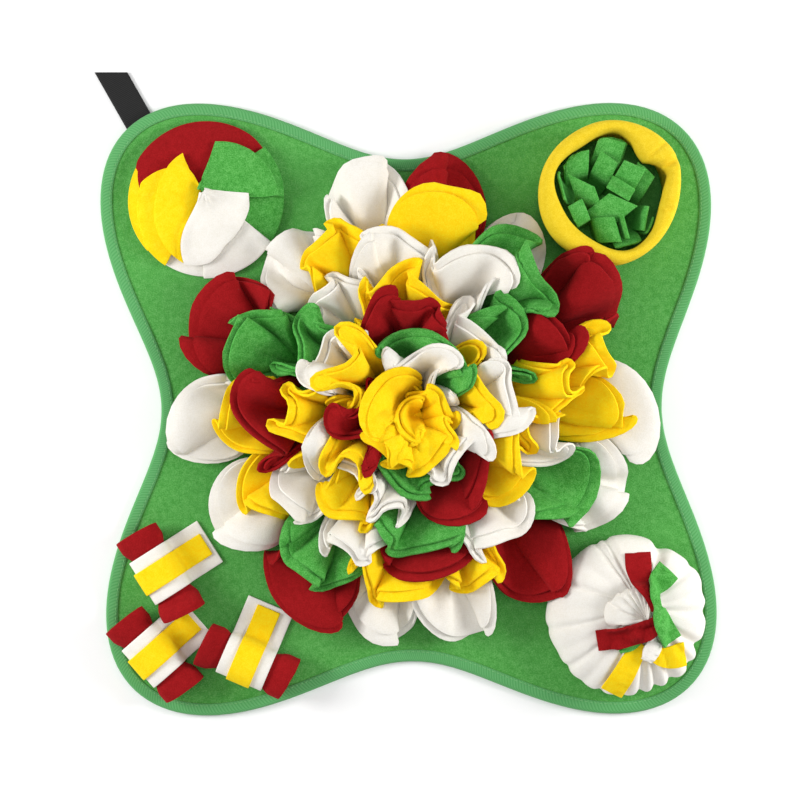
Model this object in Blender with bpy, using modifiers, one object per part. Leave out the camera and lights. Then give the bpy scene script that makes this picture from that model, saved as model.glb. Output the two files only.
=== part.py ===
"""Snuffle mat.

A padded green fleece mat with a bound edge carries a flower of gathered fleece petals in the
middle and a treat hide on each lobe: a disc of flaps, a cup of strips, three banded rolls and a
tied pouch. Numbers are millimetres and degrees; meshes are made in metres. The origin is the
middle of the mat on its flat underside, +Z is up.
"""
import math

import bmesh
import bpy
import numpy as np

MM = 0.001

# Driving sizes of the mat
MAT_TOP = 4.4              # padded fleece, two layers with a thin wadding
BINDING_TAPE = 0.9         # thickness of the folded twill tape
BINDING_WIDTH = 10.0       # how far each leg of the tape reaches in from the edge
SEAT_GAP = 0.3             # between pieces that touch
EDGE_STEPS = 72            # points round the mat's outline
FLEECE = 2.0               # thickness of one fleece piece
STRAP_WIDTH = 23.5
STRAP_THICKNESS = 1.5

# The mat's outline, as distance from its middle: mean + sum of cos and sin of n * bearing
OUTLINE_MEAN = 259.9
OUTLINE_WAVES = (
    # waves round the mat, cosine part, sine part
    (1, 2.2, -1.2),
    (2, -0.4, -0.9),
    (3, 1.5, 0.7),
    (4, -58.8, -2.0),
    (6, 0.0, 0.6),
    (8, 4.6, 0.3),
)

FLEECE_GREEN = "4fa14a"
FLEECE_RED = "a3161f"
FLEECE_YELLOW = "fbd91f"
FLEECE_WHITE = "f0ede6"
MAT_GREEN = "4f9a49"
TAPE_GREEN = "58a05c"
WEBBING_BLACK = "212121"
COLOURS = {"green": FLEECE_GREEN, "red": FLEECE_RED, "yellow": FLEECE_YELLOW, "white": FLEECE_WHITE}

# Rings of the flower: where petals are sewn on, and how they rise from root to rim
RINGS = {
    # root: usual root radius, reach: usual rim radius, rise and fall: slope at root and at rim,
    # root_width: width of the gathered root
    "A": dict(root=130.0, reach=193.0, rise=30.0, fall=-22.0, root_width=20.0),
    "B": dict(root=102.0, reach=160.0, rise=22.0, fall=40.0, root_width=22.0),
    "C": dict(root=79.0, reach=128.0, rise=28.0, fall=46.0, root_width=22.0),
    "D": dict(root=55.0, reach=95.0, rise=36.0, fall=50.0, root_width=20.0),
    "E": dict(root=29.0, reach=58.0, rise=44.0, fall=52.0, root_width=18.0),
    "F": dict(root=7.0, reach=34.0, rise=58.0, fall=34.0, root_width=11.0),
}

PETALS = (
    # name, colour, bearing, reach, width, folds, ruffle, phase, cup, own node
    ("A03", "white", 56, 181, 58, 2.0, 6.0, 90, 0, True),
    ("A06", "white", 127, 171, 75, 3.2, 9.0, 30, -3, True),
    ("A11", "white", 263, 190, 62, 2.0, 6.0, 100, 3, True),
    ("A12", "white", 284, 193, 66, 2.0, 5.0, 240, 0, True),
    ("A01", "white", 0.5, 197, 79, 1.3, 3.0, 60, 0, True),
    ("A02", "red", 31.5, 195, 68, 2.0, 10.5, 0, 8, True),
    ("A04", "red", 80, 200, 74, 1.3, 4.5, 0, 0, True),
    ("A05", "white", 101, 202, 70, 2.0, 6.0, 120, 0, True),
    ("A07", "red", 155, 193, 85, 2.0, 7.5, 200, -6, True),
    ("A08", "white", 183, 192, 71, 1.3, 4.0, 90, 0, True),
    ("A09", "white", 212, 183, 76, 1.3, 4.5, 0, 0, True),
    ("A10", "red", 240, 191, 78, 2.0, 8.0, 45, 9, True),
    ("A13", "red", 309, 188, 72, 2.0, 10.5, 0, 5, True),
    ("A14", "white", 337, 193, 80, 2.6, 7.5, 150, 5, True),
    ("B01", "yellow", 0.5, 172, 56, 1.6, 4.0, 90, 0, False),
    ("B02", "yellow", 16, 168, 48, 3.2, 10.5, 0, 9, False),
    ("B05", "yellow", 82, 182, 72, 1.6, 9.0, 90, -5, False),
    ("B06", "yellow", 116, 159, 84, 4.0, 11.0, 0, 5, True),
    ("B07", "green", 158, 156, 70, 4.8, 11.0, 0, -3, True),
    ("B09", "yellow", 209, 152, 62, 2.4, 7.5, 0, 0, False),
    ("B08", "yellow", 183, 154, 64, 3.2, 7.5, 90, 0, False),
    ("B10", "green", 239, 161, 72, 3.2, 9.0, 120, -8, True),
    ("B11", "yellow", 267, 159, 70, 3.2, 10.0, 0, 6, False),
    ("B12", "yellow", 292, 157, 60, 3.2, 10.0, 60, 6, True),
    ("B03", "red", 26, 141, 70, 1.6, 11.0, 60, -9, True),
    ("B04", "green", 56, 166, 80, 2.4, 14.0, 200, 12, True),
    ("B13", "green", 332, 155, 78, 1.6, 15.0, 180, 16, True),
    ("C13", "red", 277, 141, 72, 2.4, 6.0, 0, -4, False),
    ("C05", "white", 95, 143, 76, 3.2, 9.0, 180, -5, True),
    ("C06", "white", 122, 122, 60, 4.8, 10.5, 0, 0, False),
    ("C02", "white", 348, 127, 58, 4.8, 10.5, 90, 0, False),
    ("C01", "yellow", 8, 134, 52, 4.8, 10.5, 0, 0, False),
    ("C12", "white", 307, 135, 64, 3.2, 9.0, 90, 5, False),
    ("C10", "white", 247, 127, 58, 4.0, 10.0, 200, 0, False),
    ("C09", "white", 218, 129, 56, 6.4, 10.0, 90, 0, False),
    ("C04", "white", 66, 139, 62, 2.4, 13.0, 20, 10, False),
    ("C03", "green", 41, 112, 66, 2.4, 14.0, 230, 12, True),
    ("C08", "red", 183, 136, 72, 3.2, 13.5, 0, 8, True),
    ("C11", "green", 277, 120, 72, 3.2, 10.0, 0, -6, True),
    ("C07", "green", 146, 108, 70, 4.0, 13.5, 60, 8, True),
    ("D02", "yellow", 352, 105, 54, 4.8, 11.0, 40, 0, False),
    ("D15", "yellow", 326, 107, 76, 2.4, 13.0, 0, 8, False),
    ("D11", "yellow", 238, 105, 54, 3.2, 10.0, 90, 6, False),
    ("D08", "yellow", 186, 101, 64, 4.8, 12.0, 180, 7, False),
    ("D04", "yellow", 92, 110, 76, 5.6, 12.0, 0, 6, True),
    ("D03", "white", 48, 94, 60, 3.2, 11.0, 150, 6, False),
    ("D01", "white", 0, 92, 60, 2.4, 10.5, 0, 7, True),
    ("D12", "white", 260, 88, 50, 4.8, 11.0, 0, 0, False),
    ("D14", "red", 305, 90, 80, 2.4, 13.0, 0, 8, True),
    ("D05", "red", 93, 90, 72, 4.0, 11.0, 60, -8, False),
    ("D06", "white", 148, 86, 60, 4.0, 11.0, 0, 8, False),
    ("D09", "white", 210, 82, 68, 2.4, 9.0, 0, 10, True),
    ("E10", "yellow", 212, 72, 66, 4.2, 11.0, 0, 8, False),
    ("E13", "green", 284, 71, 70, 2.8, 8.5, 60, -6, True),
    ("E07", "yellow", 140, 70, 66, 2.8, 12.5, 90, 9, False),
    ("E08", "yellow", 12, 69, 56, 2.1, 10.0, 0, 13, False),
    ("E01", "green", 60, 63, 74, 2.1, 8.5, 90, 9, True),
    ("E04", "white", 318, 65, 64, 2.1, 10.0, 60, -5, False),
    ("E03", "red", 198, 54, 60, 3.5, 12.5, 0, 9, False),
    ("E02", "white", 70, 49, 62, 3.5, 10.0, 0, 7, False),
    ("F08", "yellow", 225, 36, 50, 2.2, 7.0, 40, 5, False),
    ("F05", "yellow", 130, 44, 52, 1.7, 8.0, 0, 9, False),
    ("F07", "yellow", 25, 36, 46, 1.7, 8.0, 90, 8, False),
    ("F06", "yellow", 300, 36, 56, 2.8, 9.0, 0, 6, True),
    ("F09", "yellow", 40, 20, 34, 1.7, 6.0, 30, 5, False),
)
# Each petal is a disc folded double: its inner fold follows the same ruffles on the upper side
FOLD_REACH = (0.89, 0.05)       # its length, as a share of the petal's, and how far that wanders
FOLD_WIDTH = 0.94               # its width, as a share of the petal's
FOLD_STEP = 2.5                 # from the middle of one layer to the middle of the next
FOLD_OPENS = 2.5                # how much further apart they are at the rim
ROSETTE_CENTRE = (2.0, -12.0)   # the top ring of the flower sits a little towards -Y
PETAL_ROWS = 17                 # a petal is draped as a fine grid
PETAL_COLUMNS = (24, 12)        # its columns: fewest, and more for each fold
CORNER_ROWS = (0, 3, 7, 12, 16)     # the rows that its solid keeps

# Hides on the four lobes: middle of each, on the mat
FLAP_DISC_CENTRE = (-164.0, 170.0)
FLAP_DISC_RADIUS = 62.5
FLAP_DISC_SIDES = 40
FLAP_DOME = 9.0
FLAP_GRID = (4, 9)              # points of a flap from its sewn edge inwards, and along that edge
FLAPS = (
    # name, colour, inner share of the radius, then (bearing, radius) round the outer edge
    ("red", "red", 0.10, ((178, 61), (150, 62), (120, 62), (85, 62), (55, 62), (40, 60))),
    ("yellow_back", "yellow", 0.72, ((150, 61), (168, 61.5), (185, 62), (200, 62), (214, 61))),
    ("yellow_mid", "yellow", 0.50, ((158, 52), (176, 54), (195, 57), (212, 60), (232, 58))),
    ("yellow_front", "yellow", 0.06, ((116, 41), (150, 38), (180, 39), (216, 47), (236, 52), (251, 55))),
    ("green_low", "green", 0.45, ((6, 61), (-8, 61), (-20, 60), (-36, 58))),
    ("green_front", "green", 0.08, ((80, 47), (62, 51), (40, 55), (20, 58), (3, 60))),
    ("white_low", "white", 0.50, ((-30, 60), (-50, 60), (-70, 61), (-90, 62))),
    ("white_front", "white", 0.06, ((6, 36), (-25, 37), (-45, 38), (-66, 41), (-86, 52), (-108, 56))),
)

CUP_CENTRE = (161.8, 172.3)
CUP_HEIGHT = 54.0
CUP_FOOT_RADIUS = 50.0
CUP_WALL = 5.0
CUP_COLUMNS = 36
CUP_RIM = (
    # bearing, outer radius, inner radius of the turned rim
    (0, 54.5, 37.5),
    (30, 60.0, 40.5),
    (52, 58.5, 36.0),
    (75, 56.8, 41.0),
    (95, 56.5, 44.0),
    (120, 55.2, 42.8),
    (150, 56.5, 47.0),
    (180, 57.5, 45.0),
    (210, 59.0, 41.5),
    (240, 58.0, 39.5),
    (270, 59.5, 45.0),
    (300, 56.5, 45.5),
    (330, 53.8, 39.8),
)
STRIP_WIDTH = 19.0
STRIP_LENGTH = 46.0
STRIP_BACKING_RADIUS = 30.0
STRIP_CLEAR = 0.85              # how much of its length stands clear of its root
STRIP_STEPS = 4
STRIP_BENDS_LATE = 1.5          # above 1, more of the lean is near the tip
STRIPS = (
    # root x and y from the cup's middle, bearing it leans to, lean at the tip, turn of its face
    (-6, 16, 95, 78, 95),
    (-8, 5, 100, 70, 110),
    (8, 9, 60, 72, 60),
    (-16, 10, 150, 72, 150),
    (15, 13, 30, 45, 50),
    (-20, 0, 175, 35, 185),
    (-10, -2, 120, 55, 300),
    (3, 0, 20, 50, 290),
    (-17, -10, 200, 30, 200),
    (0, -8, 100, 60, 110),
    (6, -14, 350, 30, 350),
    (-2, -20, 280, 35, 190),
    (17, -9, 350, 30, 15),
    (18, -18, 330, 30, 330),
    (8, -24, 285, 50, 285),
)

ROLL_LENGTH = 75.0
ROLL_HALF_WIDTH = 17.0
ROLL_HALF_HEIGHT = 12.0
ROLL_WAIST = 0.86          # how far the band squeezes the roll
ROLL_SIDES = 16
ROLL_SOFT_END = (3.0, 0.93)     # its ends narrow over this length, to this share of its section
ROLL_SWELLS = (2.0, 8.0)        # it is back to its full section this far outside the band
BAND_WIDTH = 42.0
STRIPE_WIDTH = 20.0
STRIPE_THICKNESS = 1.6
ROLLS = (
    # name, middle x and y, bearing of its axis, tail length, lift of its first and second end
    ("roll_1", -200.5, -134.0, -57.5, 46.5, 1.4, 9.0),
    ("roll_2", -205.8, -200.8, -48.8, 45.0, 1.4, 0.0),
    ("roll_3", -130.5, -206.0, -23.0, 49.0, 5.6, 1.4),
)

POUCH_CENTRE = (176.5, -168.5)
POUCH_NECK = (184.0, -160.5)
POUCH_PLEATS = 12
POUCH_COLUMNS = 48
POUCH_ROUND = (0.3, 64.0)       # sections below this share are round, as a share of this radius
POUCH_OUTLINE = (
    # bearing, radius at its widest
    (0, 65.5),
    (30, 69.5),
    (60, 64.5),
    (90, 66.5),
    (120, 63.0),
    (150, 63.0),
    (180, 64.5),
    (210, 61.5),
    (240, 64.5),
    (270, 64.5),
    (300, 63.5),
    (318, 68.0),
    (335, 64.0),
)
TIE_STEPS = 14
TIES = (
    # name, colour, then (x, y, width) along the tie
    ("tie_yellow", "yellow", ((165.0, -228.0, 20.0), (172.0, -214.0, 18.5), (180.0, -198.0, 15.0),
                              (189.0, -191.0, 9.0), (199.0, -192.5, 15.0), (217.0, -198.0, 17.0))),
    ("tie_green", "green", ((208.0, -131.0, 17.5), (199.0, -141.0, 17.5), (192.0, -151.5, 10.0),
                            (192.0, -161.0, 8.0), (199.0, -171.0, 17.0), (211.0, -186.0, 17.5))),
    ("tie_red", "red", ((181.0, -116.0, 19.0), (179.0, -130.0, 19.0), (177.0, -142.0, 16.0),
                        (172.0, -160.0, 8.0), (170.5, -178.0, 14.0), (152.0, -183.5, 17.5))),
)


def linear(channel):
    """One sRGB channel, 0 to 1, as linear light."""
    return channel / 12.92 if channel <= 0.04045 else ((channel + 0.055) / 1.055) ** 2.4


def material(name, colour, roughness):
    """A plain Principled finish of an sRGB hex colour."""
    finish = bpy.data.materials.get(name)
    if finish is None:
        finish = bpy.data.materials.new(name)
        finish.use_nodes = True
        shader = finish.node_tree.nodes["Principled BSDF"]
        channels = [linear(int(colour[i:i + 2], 16) / 255) for i in (0, 2, 4)]
        shader.inputs["Base Color"].default_value = (*channels, 1.0)
        shader.inputs["Roughness"].default_value = roughness
        shader.inputs["Metallic"].default_value = 0.0
        finish.diffuse_color = (*channels, 1.0)
    return finish


def add_piece(name, points, faces, finish):
    """A new object from points in millimetres."""
    mesh = bpy.data.meshes.new(name)
    mesh.from_pydata([tuple(point) for point in np.asarray(points) * MM], [], faces)
    mesh.materials.append(finish)
    mesh.update()
    piece = bpy.data.objects.new(name, mesh)
    collection.objects.link(piece)
    return piece


def grid_faces(rows, columns, wrap=False):
    """Quads of a grid of points; wrap joins the last column to the first."""
    faces = []
    for row in range(rows - 1):
        for column in range(columns if wrap else columns - 1):
            right = (column + 1) % columns
            faces.append((row * columns + column, row * columns + right,
                          (row + 1) * columns + right, (row + 1) * columns + column))
    return faces


def add_sheet(name, grid, thickness, finish):
    """A cloth piece: an open grid of points on its middle surface, thickened both ways."""
    rows, columns, _ = grid.shape
    piece = add_piece(name, grid.reshape(-1, 3), grid_faces(rows, columns), finish)
    solidify = piece.modifiers.new("Thickness", "SOLIDIFY")
    solidify.thickness = thickness * MM
    solidify.offset = 0.0
    return piece


def add_loft(name, grid, finish, closed_section=False):
    """A solid lofted through rings of points, with flat ends or as a closed tube."""
    rows, columns, _ = grid.shape
    if closed_section:
        ring = np.concatenate([grid, grid[:1]])
        faces = [tuple(index % (rows * columns) for index in face)
                 for face in grid_faces(ring.shape[0], columns, wrap=True)]
    else:
        faces = grid_faces(rows, columns, wrap=True)
        faces.append(tuple(reversed(range(columns))))
        faces.append(tuple((rows - 1) * columns + column for column in range(columns)))
    piece = add_piece(name, grid.reshape(-1, 3), faces, finish)
    shape = bmesh.new()
    shape.from_mesh(piece.data)
    bmesh.ops.recalc_face_normals(shape, faces=shape.faces)
    shape.to_mesh(piece.data)
    shape.free()
    return piece


def smoothstep(low, high, value):
    share = np.clip((value - low) / (high - low), 0.0, 1.0)
    return share * share * (3.0 - 2.0 * share)


def round_table(bearings, table, column):
    """Smooth closed curve through a table of (bearing, ...) rows, read at some bearings."""
    knots = np.array([row[0] for row in table], dtype=float)
    values = np.array([row[column] for row in table], dtype=float)
    knots = np.concatenate([knots - 360.0, knots, knots + 360.0])
    values = np.concatenate([values, values, values])
    bearings = np.mod(bearings, 360.0)
    blurred = [np.interp(bearings + shift, knots, values) for shift in (-10.0, -5.0, 0.0, 5.0, 10.0)]
    return np.mean(blurred, axis=0)


def through(points, count):
    """Evenly spaced samples of a smooth open curve through a few points."""
    points = np.asarray(points, dtype=float)
    padded = np.vstack([2 * points[0] - points[1], points, 2 * points[-1] - points[-2]])
    samples = []
    for step in np.linspace(0, len(points) - 1.0001, count):
        index = int(step)
        share = step - index
        before, start, end, after = padded[index:index + 4]
        samples.append(0.5 * (2 * start + (end - before) * share
                              + (2 * before - 5 * start + 4 * end - after) * share ** 2
                              + (3 * start - before - 3 * end + after) * share ** 3))
    return np.array(samples)


class Heap:
    """How high the pieces laid so far reach, on a square grid over the mat."""

    HALF = 330.0
    CELL = 2.0

    def __init__(self, level):
        cells = int(2 * self.HALF / self.CELL) + 1
        self.top = np.full((cells, cells), level)

    def cell_of(self, x, y):
        last = self.top.shape[0] - 1
        column = np.clip(np.rint((x + self.HALF) / self.CELL).astype(int), 0, last)
        row = np.clip(np.rint((y + self.HALF) / self.CELL).astype(int), 0, last)
        return row, column

    def add(self, grid, thickness, splits=7):
        """Raise the heap under every part of a grid of points."""
        tops = grid.copy()
        tops[..., 2] += thickness / 2 / uprightness(grid)
        near, right, up, far = tops[:-1, :-1], tops[:-1, 1:], tops[1:, :-1], tops[1:, 1:]
        for across in np.linspace(0.0, 1.0, splits):
            for along in np.linspace(0.0, 1.0, splits):
                spot = ((near * (1 - across) + right * across) * (1 - along)
                        + (up * (1 - across) + far * across) * along)
                cells = self.cell_of(spot[..., 0], spot[..., 1])
                np.maximum.at(self.top, cells, spot[..., 2])

    def under(self, x, y, reach):
        """The highest point of the heap within reach of each place."""
        steps = int(reach / self.CELL)
        row, column = self.cell_of(x, y)
        last = self.top.shape[0] - 1
        highest = np.full(np.shape(x), -np.inf)
        for down in range(-steps, steps + 1):
            for right in range(-steps, steps + 1):
                if math.hypot(down, right) <= steps + 0.5:
                    cells = (np.clip(row + down, 0, last), np.clip(column + right, 0, last))
                    highest = np.maximum(highest, self.top[cells])
        return highest


STEEPEST = 0.4             # a steeper sheet is taken as if its normal rose this much
DRAPE_REACH = 0.0
DRAPE_MARGIN = 0.5         # over the seat gap, because coarse faces cut their own corners
FLAP_REACH = 4.0
FLAP_MARGIN = 0.05
TIE_REACH = 6.0
TIE_MARGIN = 0.4
DRAPE_ROUNDS = 60
DRAPE_SPREAD = 0.97
CORNER_REACH = 4.1         # a petal's solid is coarse, so it clears the solids below it once more
CORNER_MARGIN = 0.3
CORNER_ROUNDS = 3


def normals(grid):
    """Unit normals of a grid of points, on the side that faces up at most places."""
    normal = np.cross(np.gradient(grid, axis=1), np.gradient(grid, axis=0))
    normal /= np.maximum(np.linalg.norm(normal, axis=-1, keepdims=True), 1e-9)
    return normal * (1.0 if normal[..., 2].sum() > 0 else -1.0)


def uprightness(grid):
    """How much the normals of a grid point up, from a steepest sheet to 1 for a level one."""
    return np.clip(np.abs(normals(grid)[..., 2]), STEEPEST, 1.0)


def drape(grid, heap, thickness, held_rows=1, reach=DRAPE_REACH, margin=DRAPE_MARGIN,
          rounds=DRAPE_ROUNDS):
    """Lift a sheet where it would cut the heap, as cloth that lies over what is below it."""
    clearance = (thickness / 2 + SEAT_GAP + margin) / uprightness(grid)
    need = heap.under(grid[..., 0], grid[..., 1], reach) + clearance - grid[..., 2]
    need[:held_rows] = 0.0
    lift = np.maximum(need, 0.0)
    for _ in range(rounds):
        padded = np.pad(lift, 1, mode="edge")
        spread = (padded[:-2, 1:-1] + padded[2:, 1:-1] + padded[1:-1, :-2] + padded[1:-1, 2:]) / 4
        lift = np.maximum(need, spread * DRAPE_SPREAD)
        lift[:held_rows] = 0.0
    draped = grid.copy()
    draped[..., 2] += np.maximum(lift, 0.0)
    heap.add(draped, thickness)
    return draped


def mat_edge(bearings, inset):
    """Points at a distance inside the mat's outline."""
    def outline(angles):
        reach = np.full(angles.shape, OUTLINE_MEAN)
        for waves, cosine, sine in OUTLINE_WAVES:
            reach = reach + cosine * np.cos(waves * angles) + sine * np.sin(waves * angles)
        return np.stack([reach * np.cos(angles), reach * np.sin(angles)], axis=-1)

    angles = np.radians(bearings)
    step = 0.001
    along = outline(angles + step) - outline(angles - step)
    along /= np.linalg.norm(along, axis=-1, keepdims=True)
    inward = np.stack([-along[..., 1], along[..., 0]], axis=-1)
    return outline(angles) + inward * inset


STRAP_EXIT = np.array([-218.6, 232.3])     # where its middle line meets the mat's edge
STRAP_BEARING = 119.6
STRAP_END_Y = 275.9                         # the cut end runs along X
STRAP_TUCK = 7.0                            # length under the mat
STRAP_LIFT = STRAP_THICKNESS + SEAT_GAP
LIFT_FLAT = 24.0
LIFT_END = 80.0
LIFT_INSET = 18.0


def strap_lift(points, inset):
    """How far the edge of the mat is raised by the strap sewn under it."""
    angle = math.radians(STRAP_BEARING)
    across = np.array([-math.sin(angle), math.cos(angle)])
    off_line = points - STRAP_EXIT
    sideways = np.abs(off_line @ across)
    near = np.linalg.norm(off_line, axis=-1) < 2 * LIFT_END
    share = 1.0 - smoothstep(LIFT_FLAT, LIFT_END, sideways)
    inner = 1.0 - smoothstep(STRAP_TUCK + 4.0, LIFT_INSET, inset)
    return STRAP_LIFT * share * inner * near


def edge_rings(section):
    """Rings round the mat from (inset, height) pairs, raised over the strap."""
    bearings = np.arange(EDGE_STEPS) * 360.0 / EDGE_STEPS
    rings = []
    for inset, height in section:
        ring = mat_edge(bearings, inset)
        heights = height + strap_lift(ring, inset)
        rings.append(np.column_stack([ring, heights]))
    return np.array(rings)


def build_mat():
    tape_in = BINDING_TAPE + SEAT_GAP
    section = ((LIFT_INSET, 0.0), (BINDING_WIDTH + 0.6, 0.0), (BINDING_WIDTH + 0.6, tape_in),
               (tape_in, tape_in), (tape_in, MAT_TOP), (LIFT_INSET, MAT_TOP))
    add_loft("mat_base", edge_rings(section), material("mat_fleece", MAT_GREEN, 0.95))
    tape_top = MAT_TOP + SEAT_GAP
    section = ((BINDING_WIDTH, 0.0), (0.0, 0.0), (0.0, tape_top + BINDING_TAPE),
               (BINDING_WIDTH, tape_top + BINDING_TAPE), (BINDING_WIDTH, tape_top),
               (BINDING_TAPE, tape_top), (BINDING_TAPE, BINDING_TAPE), (BINDING_WIDTH, BINDING_TAPE))
    add_loft("binding", edge_rings(section), material("twill_tape", TAPE_GREEN, 0.8),
             closed_section=True)


def build_strap():
    angle = math.radians(STRAP_BEARING)
    along = np.array([math.cos(angle), math.sin(angle)])
    across = np.array([-along[1], along[0]]) * STRAP_WIDTH / 2
    corners = []
    for side in (across, -across):
        root = STRAP_EXIT - along * STRAP_TUCK + side
        tip = root + along * (STRAP_END_Y - root[1]) / along[1]
        corners.append((root, tip))
    outline = (corners[0][0], corners[1][0], corners[1][1], corners[0][1])
    rings = [[(x, y, height) for x, y in outline] for height in (0.0, STRAP_THICKNESS)]
    add_loft("strap", np.array(rings), material("webbing", WEBBING_BLACK, 0.7))


RIM_SPREAD = math.radians(122.0)    # how far round its ellipse a petal's rim goes each way
RIM_HALF_LENGTH = 0.56              # half length of that ellipse, as a share of the petal
ROOT_FOLLOWS = 0.55                 # how far the root moves when the rim is off its usual radius
RUFFLE_UNEVEN = 0.14
RUFFLE_SWELL = 0.40
RUFFLE_BEND = 0.6
RUFFLE_SHARP = -0.15                # makes crests narrower than valleys
RUFFLE_CREASE = 0.5
RUFFLE_GROWS = 1.0                  # how soon a ruffle reaches its full depth: 1 is evenly to the rim
LEAN_OVER = 0.85                    # how far crests bulge sideways over the valleys
LEAN_ONE_WAY = 0.2
RIM_WAVE = 0.003
RIM_UNEVEN = 0.03
CURL = (25.0, 4.0)                  # how far the sides turn, in degrees, and more for each mm of cup
CURL_RISE = 0.6
STATIONS = 41                       # steps of the profile from root to rim


def ruffle_wave(row, side):
    """How far a petal's rim is through its waves, at each place from side to side."""
    bearing, folds, start = math.radians(row[2]), row[5], math.radians(row[7])
    uneven = side + RUFFLE_UNEVEN * np.sin(2.9 * side + 3.0 * (start + bearing))
    return math.pi * folds * uneven + start


def petal_surface(row, rows, columns):
    """The middle surface of one gathered petal, from its sewn root to its rim."""
    name, _, bearing, reach, width, folds, ruffle, phase, cup, _ = row
    ring = RINGS[name[0]]
    root = ring["root"] + ROOT_FOLLOWS * (reach - ring["reach"])
    side = np.linspace(-1.0, 1.0, columns)[None, :]
    out = np.linspace(0.0, 1.0, rows)[:, None]

    # A disc pinched at its root: the rim is most of an ellipse, and lines run to it from the root
    slope = np.radians(np.linspace(ring["rise"], ring["fall"], STATIONS))
    step = 1.0 / (STATIONS - 1)
    run = np.concatenate([[0.0], np.cumsum(np.cos(slope[1:]) + np.cos(slope[:-1]))]) * step / 2
    climb = np.concatenate([[0.0], np.cumsum(np.sin(slope[1:]) + np.sin(slope[:-1]))]) * step / 2
    length = (reach - root) / run[-1]
    rim_across = width / 2 * np.sin(side * RIM_SPREAD)
    rim_along = length - RIM_HALF_LENGTH * length * (1.0 - np.cos(side * RIM_SPREAD))
    across = (1 - out) * side * ring["root_width"] / 2 + out * rim_across
    along = out * rim_along

    # Ruffles grow towards the rim: rounded crests that overhang the valleys between them
    seed = math.radians(phase + bearing)
    wave = ruffle_wave(row, side) + RUFFLE_BEND * (1 - out) * np.sin(2.0 * side + seed)
    depth = ruffle * out ** RUFFLE_GROWS * (1.0 + RUFFLE_SWELL * np.sin(1.7 * side + 2.0 * seed))
    height = depth * (np.sin(wave) + RUFFLE_SHARP * np.cos(2 * wave))
    fading = out ** 1.2 * (1 - 0.8 * out)
    height = height + RUFFLE_CREASE * ruffle * fading * np.sin(2.3 * wave + 2 * seed)
    lean = LEAN_OVER * np.sin(2 * wave) + LEAN_ONE_WAY * np.cos(wave)
    across = across - out ** 1.2 * width / (2 * math.pi * folds) * lean
    swing = RIM_WAVE * ruffle * np.sin(wave + 1.2 + seed) + RIM_UNEVEN * np.sin(2.2 * side + 5 * seed)
    along = along * (1.0 + out * swing)

    # Its sides curl up, or down where cup is negative
    curl = math.radians(CURL[0] + CURL[1] * abs(cup))
    turned = curl * np.clip(across / (width / 2), -1.1, 1.1)
    rise = (1 - np.cos(turned)) / (1 - math.cos(curl)) - 0.25
    height = height + CURL_RISE * cup * out ** 0.5 * rise
    across = width / 2 * np.sin(turned) / math.sin(min(curl, math.pi / 2))

    # Onto the profile, which climbs steeply from the root and flattens towards the rim
    share = np.clip(along / length, 0.0, 1.0)
    stations = np.linspace(0.0, 1.0, STATIONS)
    pitch = np.interp(share, stations, slope)
    radius = root + length * np.interp(share, stations, run) - height * np.sin(pitch)
    foot = MAT_TOP + 2.0 * SEAT_GAP + FLEECE / 2 * math.cos(slope[0])
    level = foot + length * np.interp(share, stations, climb) + height * np.cos(pitch)
    bearing = math.radians(bearing)
    if name[0] == "F":
        x = ROSETTE_CENTRE[0] + radius * math.cos(bearing) - across * math.sin(bearing)
        y = ROSETTE_CENTRE[1] + radius * math.sin(bearing) + across * math.cos(bearing)
    else:
        angle = bearing + across / radius
        x = radius * np.cos(angle)
        y = radius * np.sin(angle)
    return np.stack([x, y, level], axis=-1)


def inner_fold(row, grid):
    """The upper layer of a petal, from the grid of the lower one."""
    rows, columns, _ = grid.shape
    side = np.linspace(-1.0, 1.0, columns)[None, :]
    out = np.linspace(0.0, 1.0, rows)[:, None]
    wander = np.sin(2.6 * side + row[2])
    apart = FOLD_STEP + FOLD_OPENS * (1.0 + wander) * out ** 3
    raised = grid + normals(grid) * apart[..., None]
    along = out * (FOLD_REACH[0] + FOLD_REACH[1] * wander) * (rows - 1)
    across = (FOLD_WIDTH * side + 1.0) / 2 * (columns - 1) + 0.0 * out
    row_low = np.minimum(along.astype(int), rows - 2)
    column_low = np.minimum(across.astype(int), columns - 2)
    along = (along - row_low)[..., None]
    across = (across - column_low)[..., None]
    near = raised[row_low, column_low] * (1 - across) + raised[row_low, column_low + 1] * across
    far = raised[row_low + 1, column_low] * (1 - across) + raised[row_low + 1, column_low + 1] * across
    return near * (1 - along) + far * along


def corner_columns(row, columns):
    """The columns at the crests, valleys and flanks of a petal's ruffles."""
    step = math.pi / 4 if row[5] <= 1.5 else math.pi / 2
    wave = ruffle_wave(row, np.linspace(-1.0, 1.0, columns))
    turns = np.flatnonzero(np.diff(np.floor(wave / step)))
    return [0] + [int(turn) for turn in turns if 1 < turn < columns - 3] + [columns - 1]


def build_flower(heap):
    """Petals ring by ring from the outside in, each laid over those below it."""
    solids = Heap(MAT_TOP)
    solids.top = heap.top.copy()
    for row in PETALS:
        columns = int(PETAL_COLUMNS[0] + PETAL_COLUMNS[1] * row[5])
        grid = drape(petal_surface(row, PETAL_ROWS, columns), heap, FLEECE)
        heap.add(inner_fold(row, grid), FLEECE)
        if row[-1]:
            corners = grid[np.ix_(CORNER_ROWS, corner_columns(row, columns))]
            corners = drape(corners, solids, FLEECE, reach=CORNER_REACH, margin=CORNER_MARGIN,
                            rounds=CORNER_ROUNDS)
            add_sheet(f"petal_{row[0]}_{row[1]}", corners, FLEECE,
                      material(f"fleece_{row[1]}", COLOURS[row[1]], 0.95))


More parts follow.
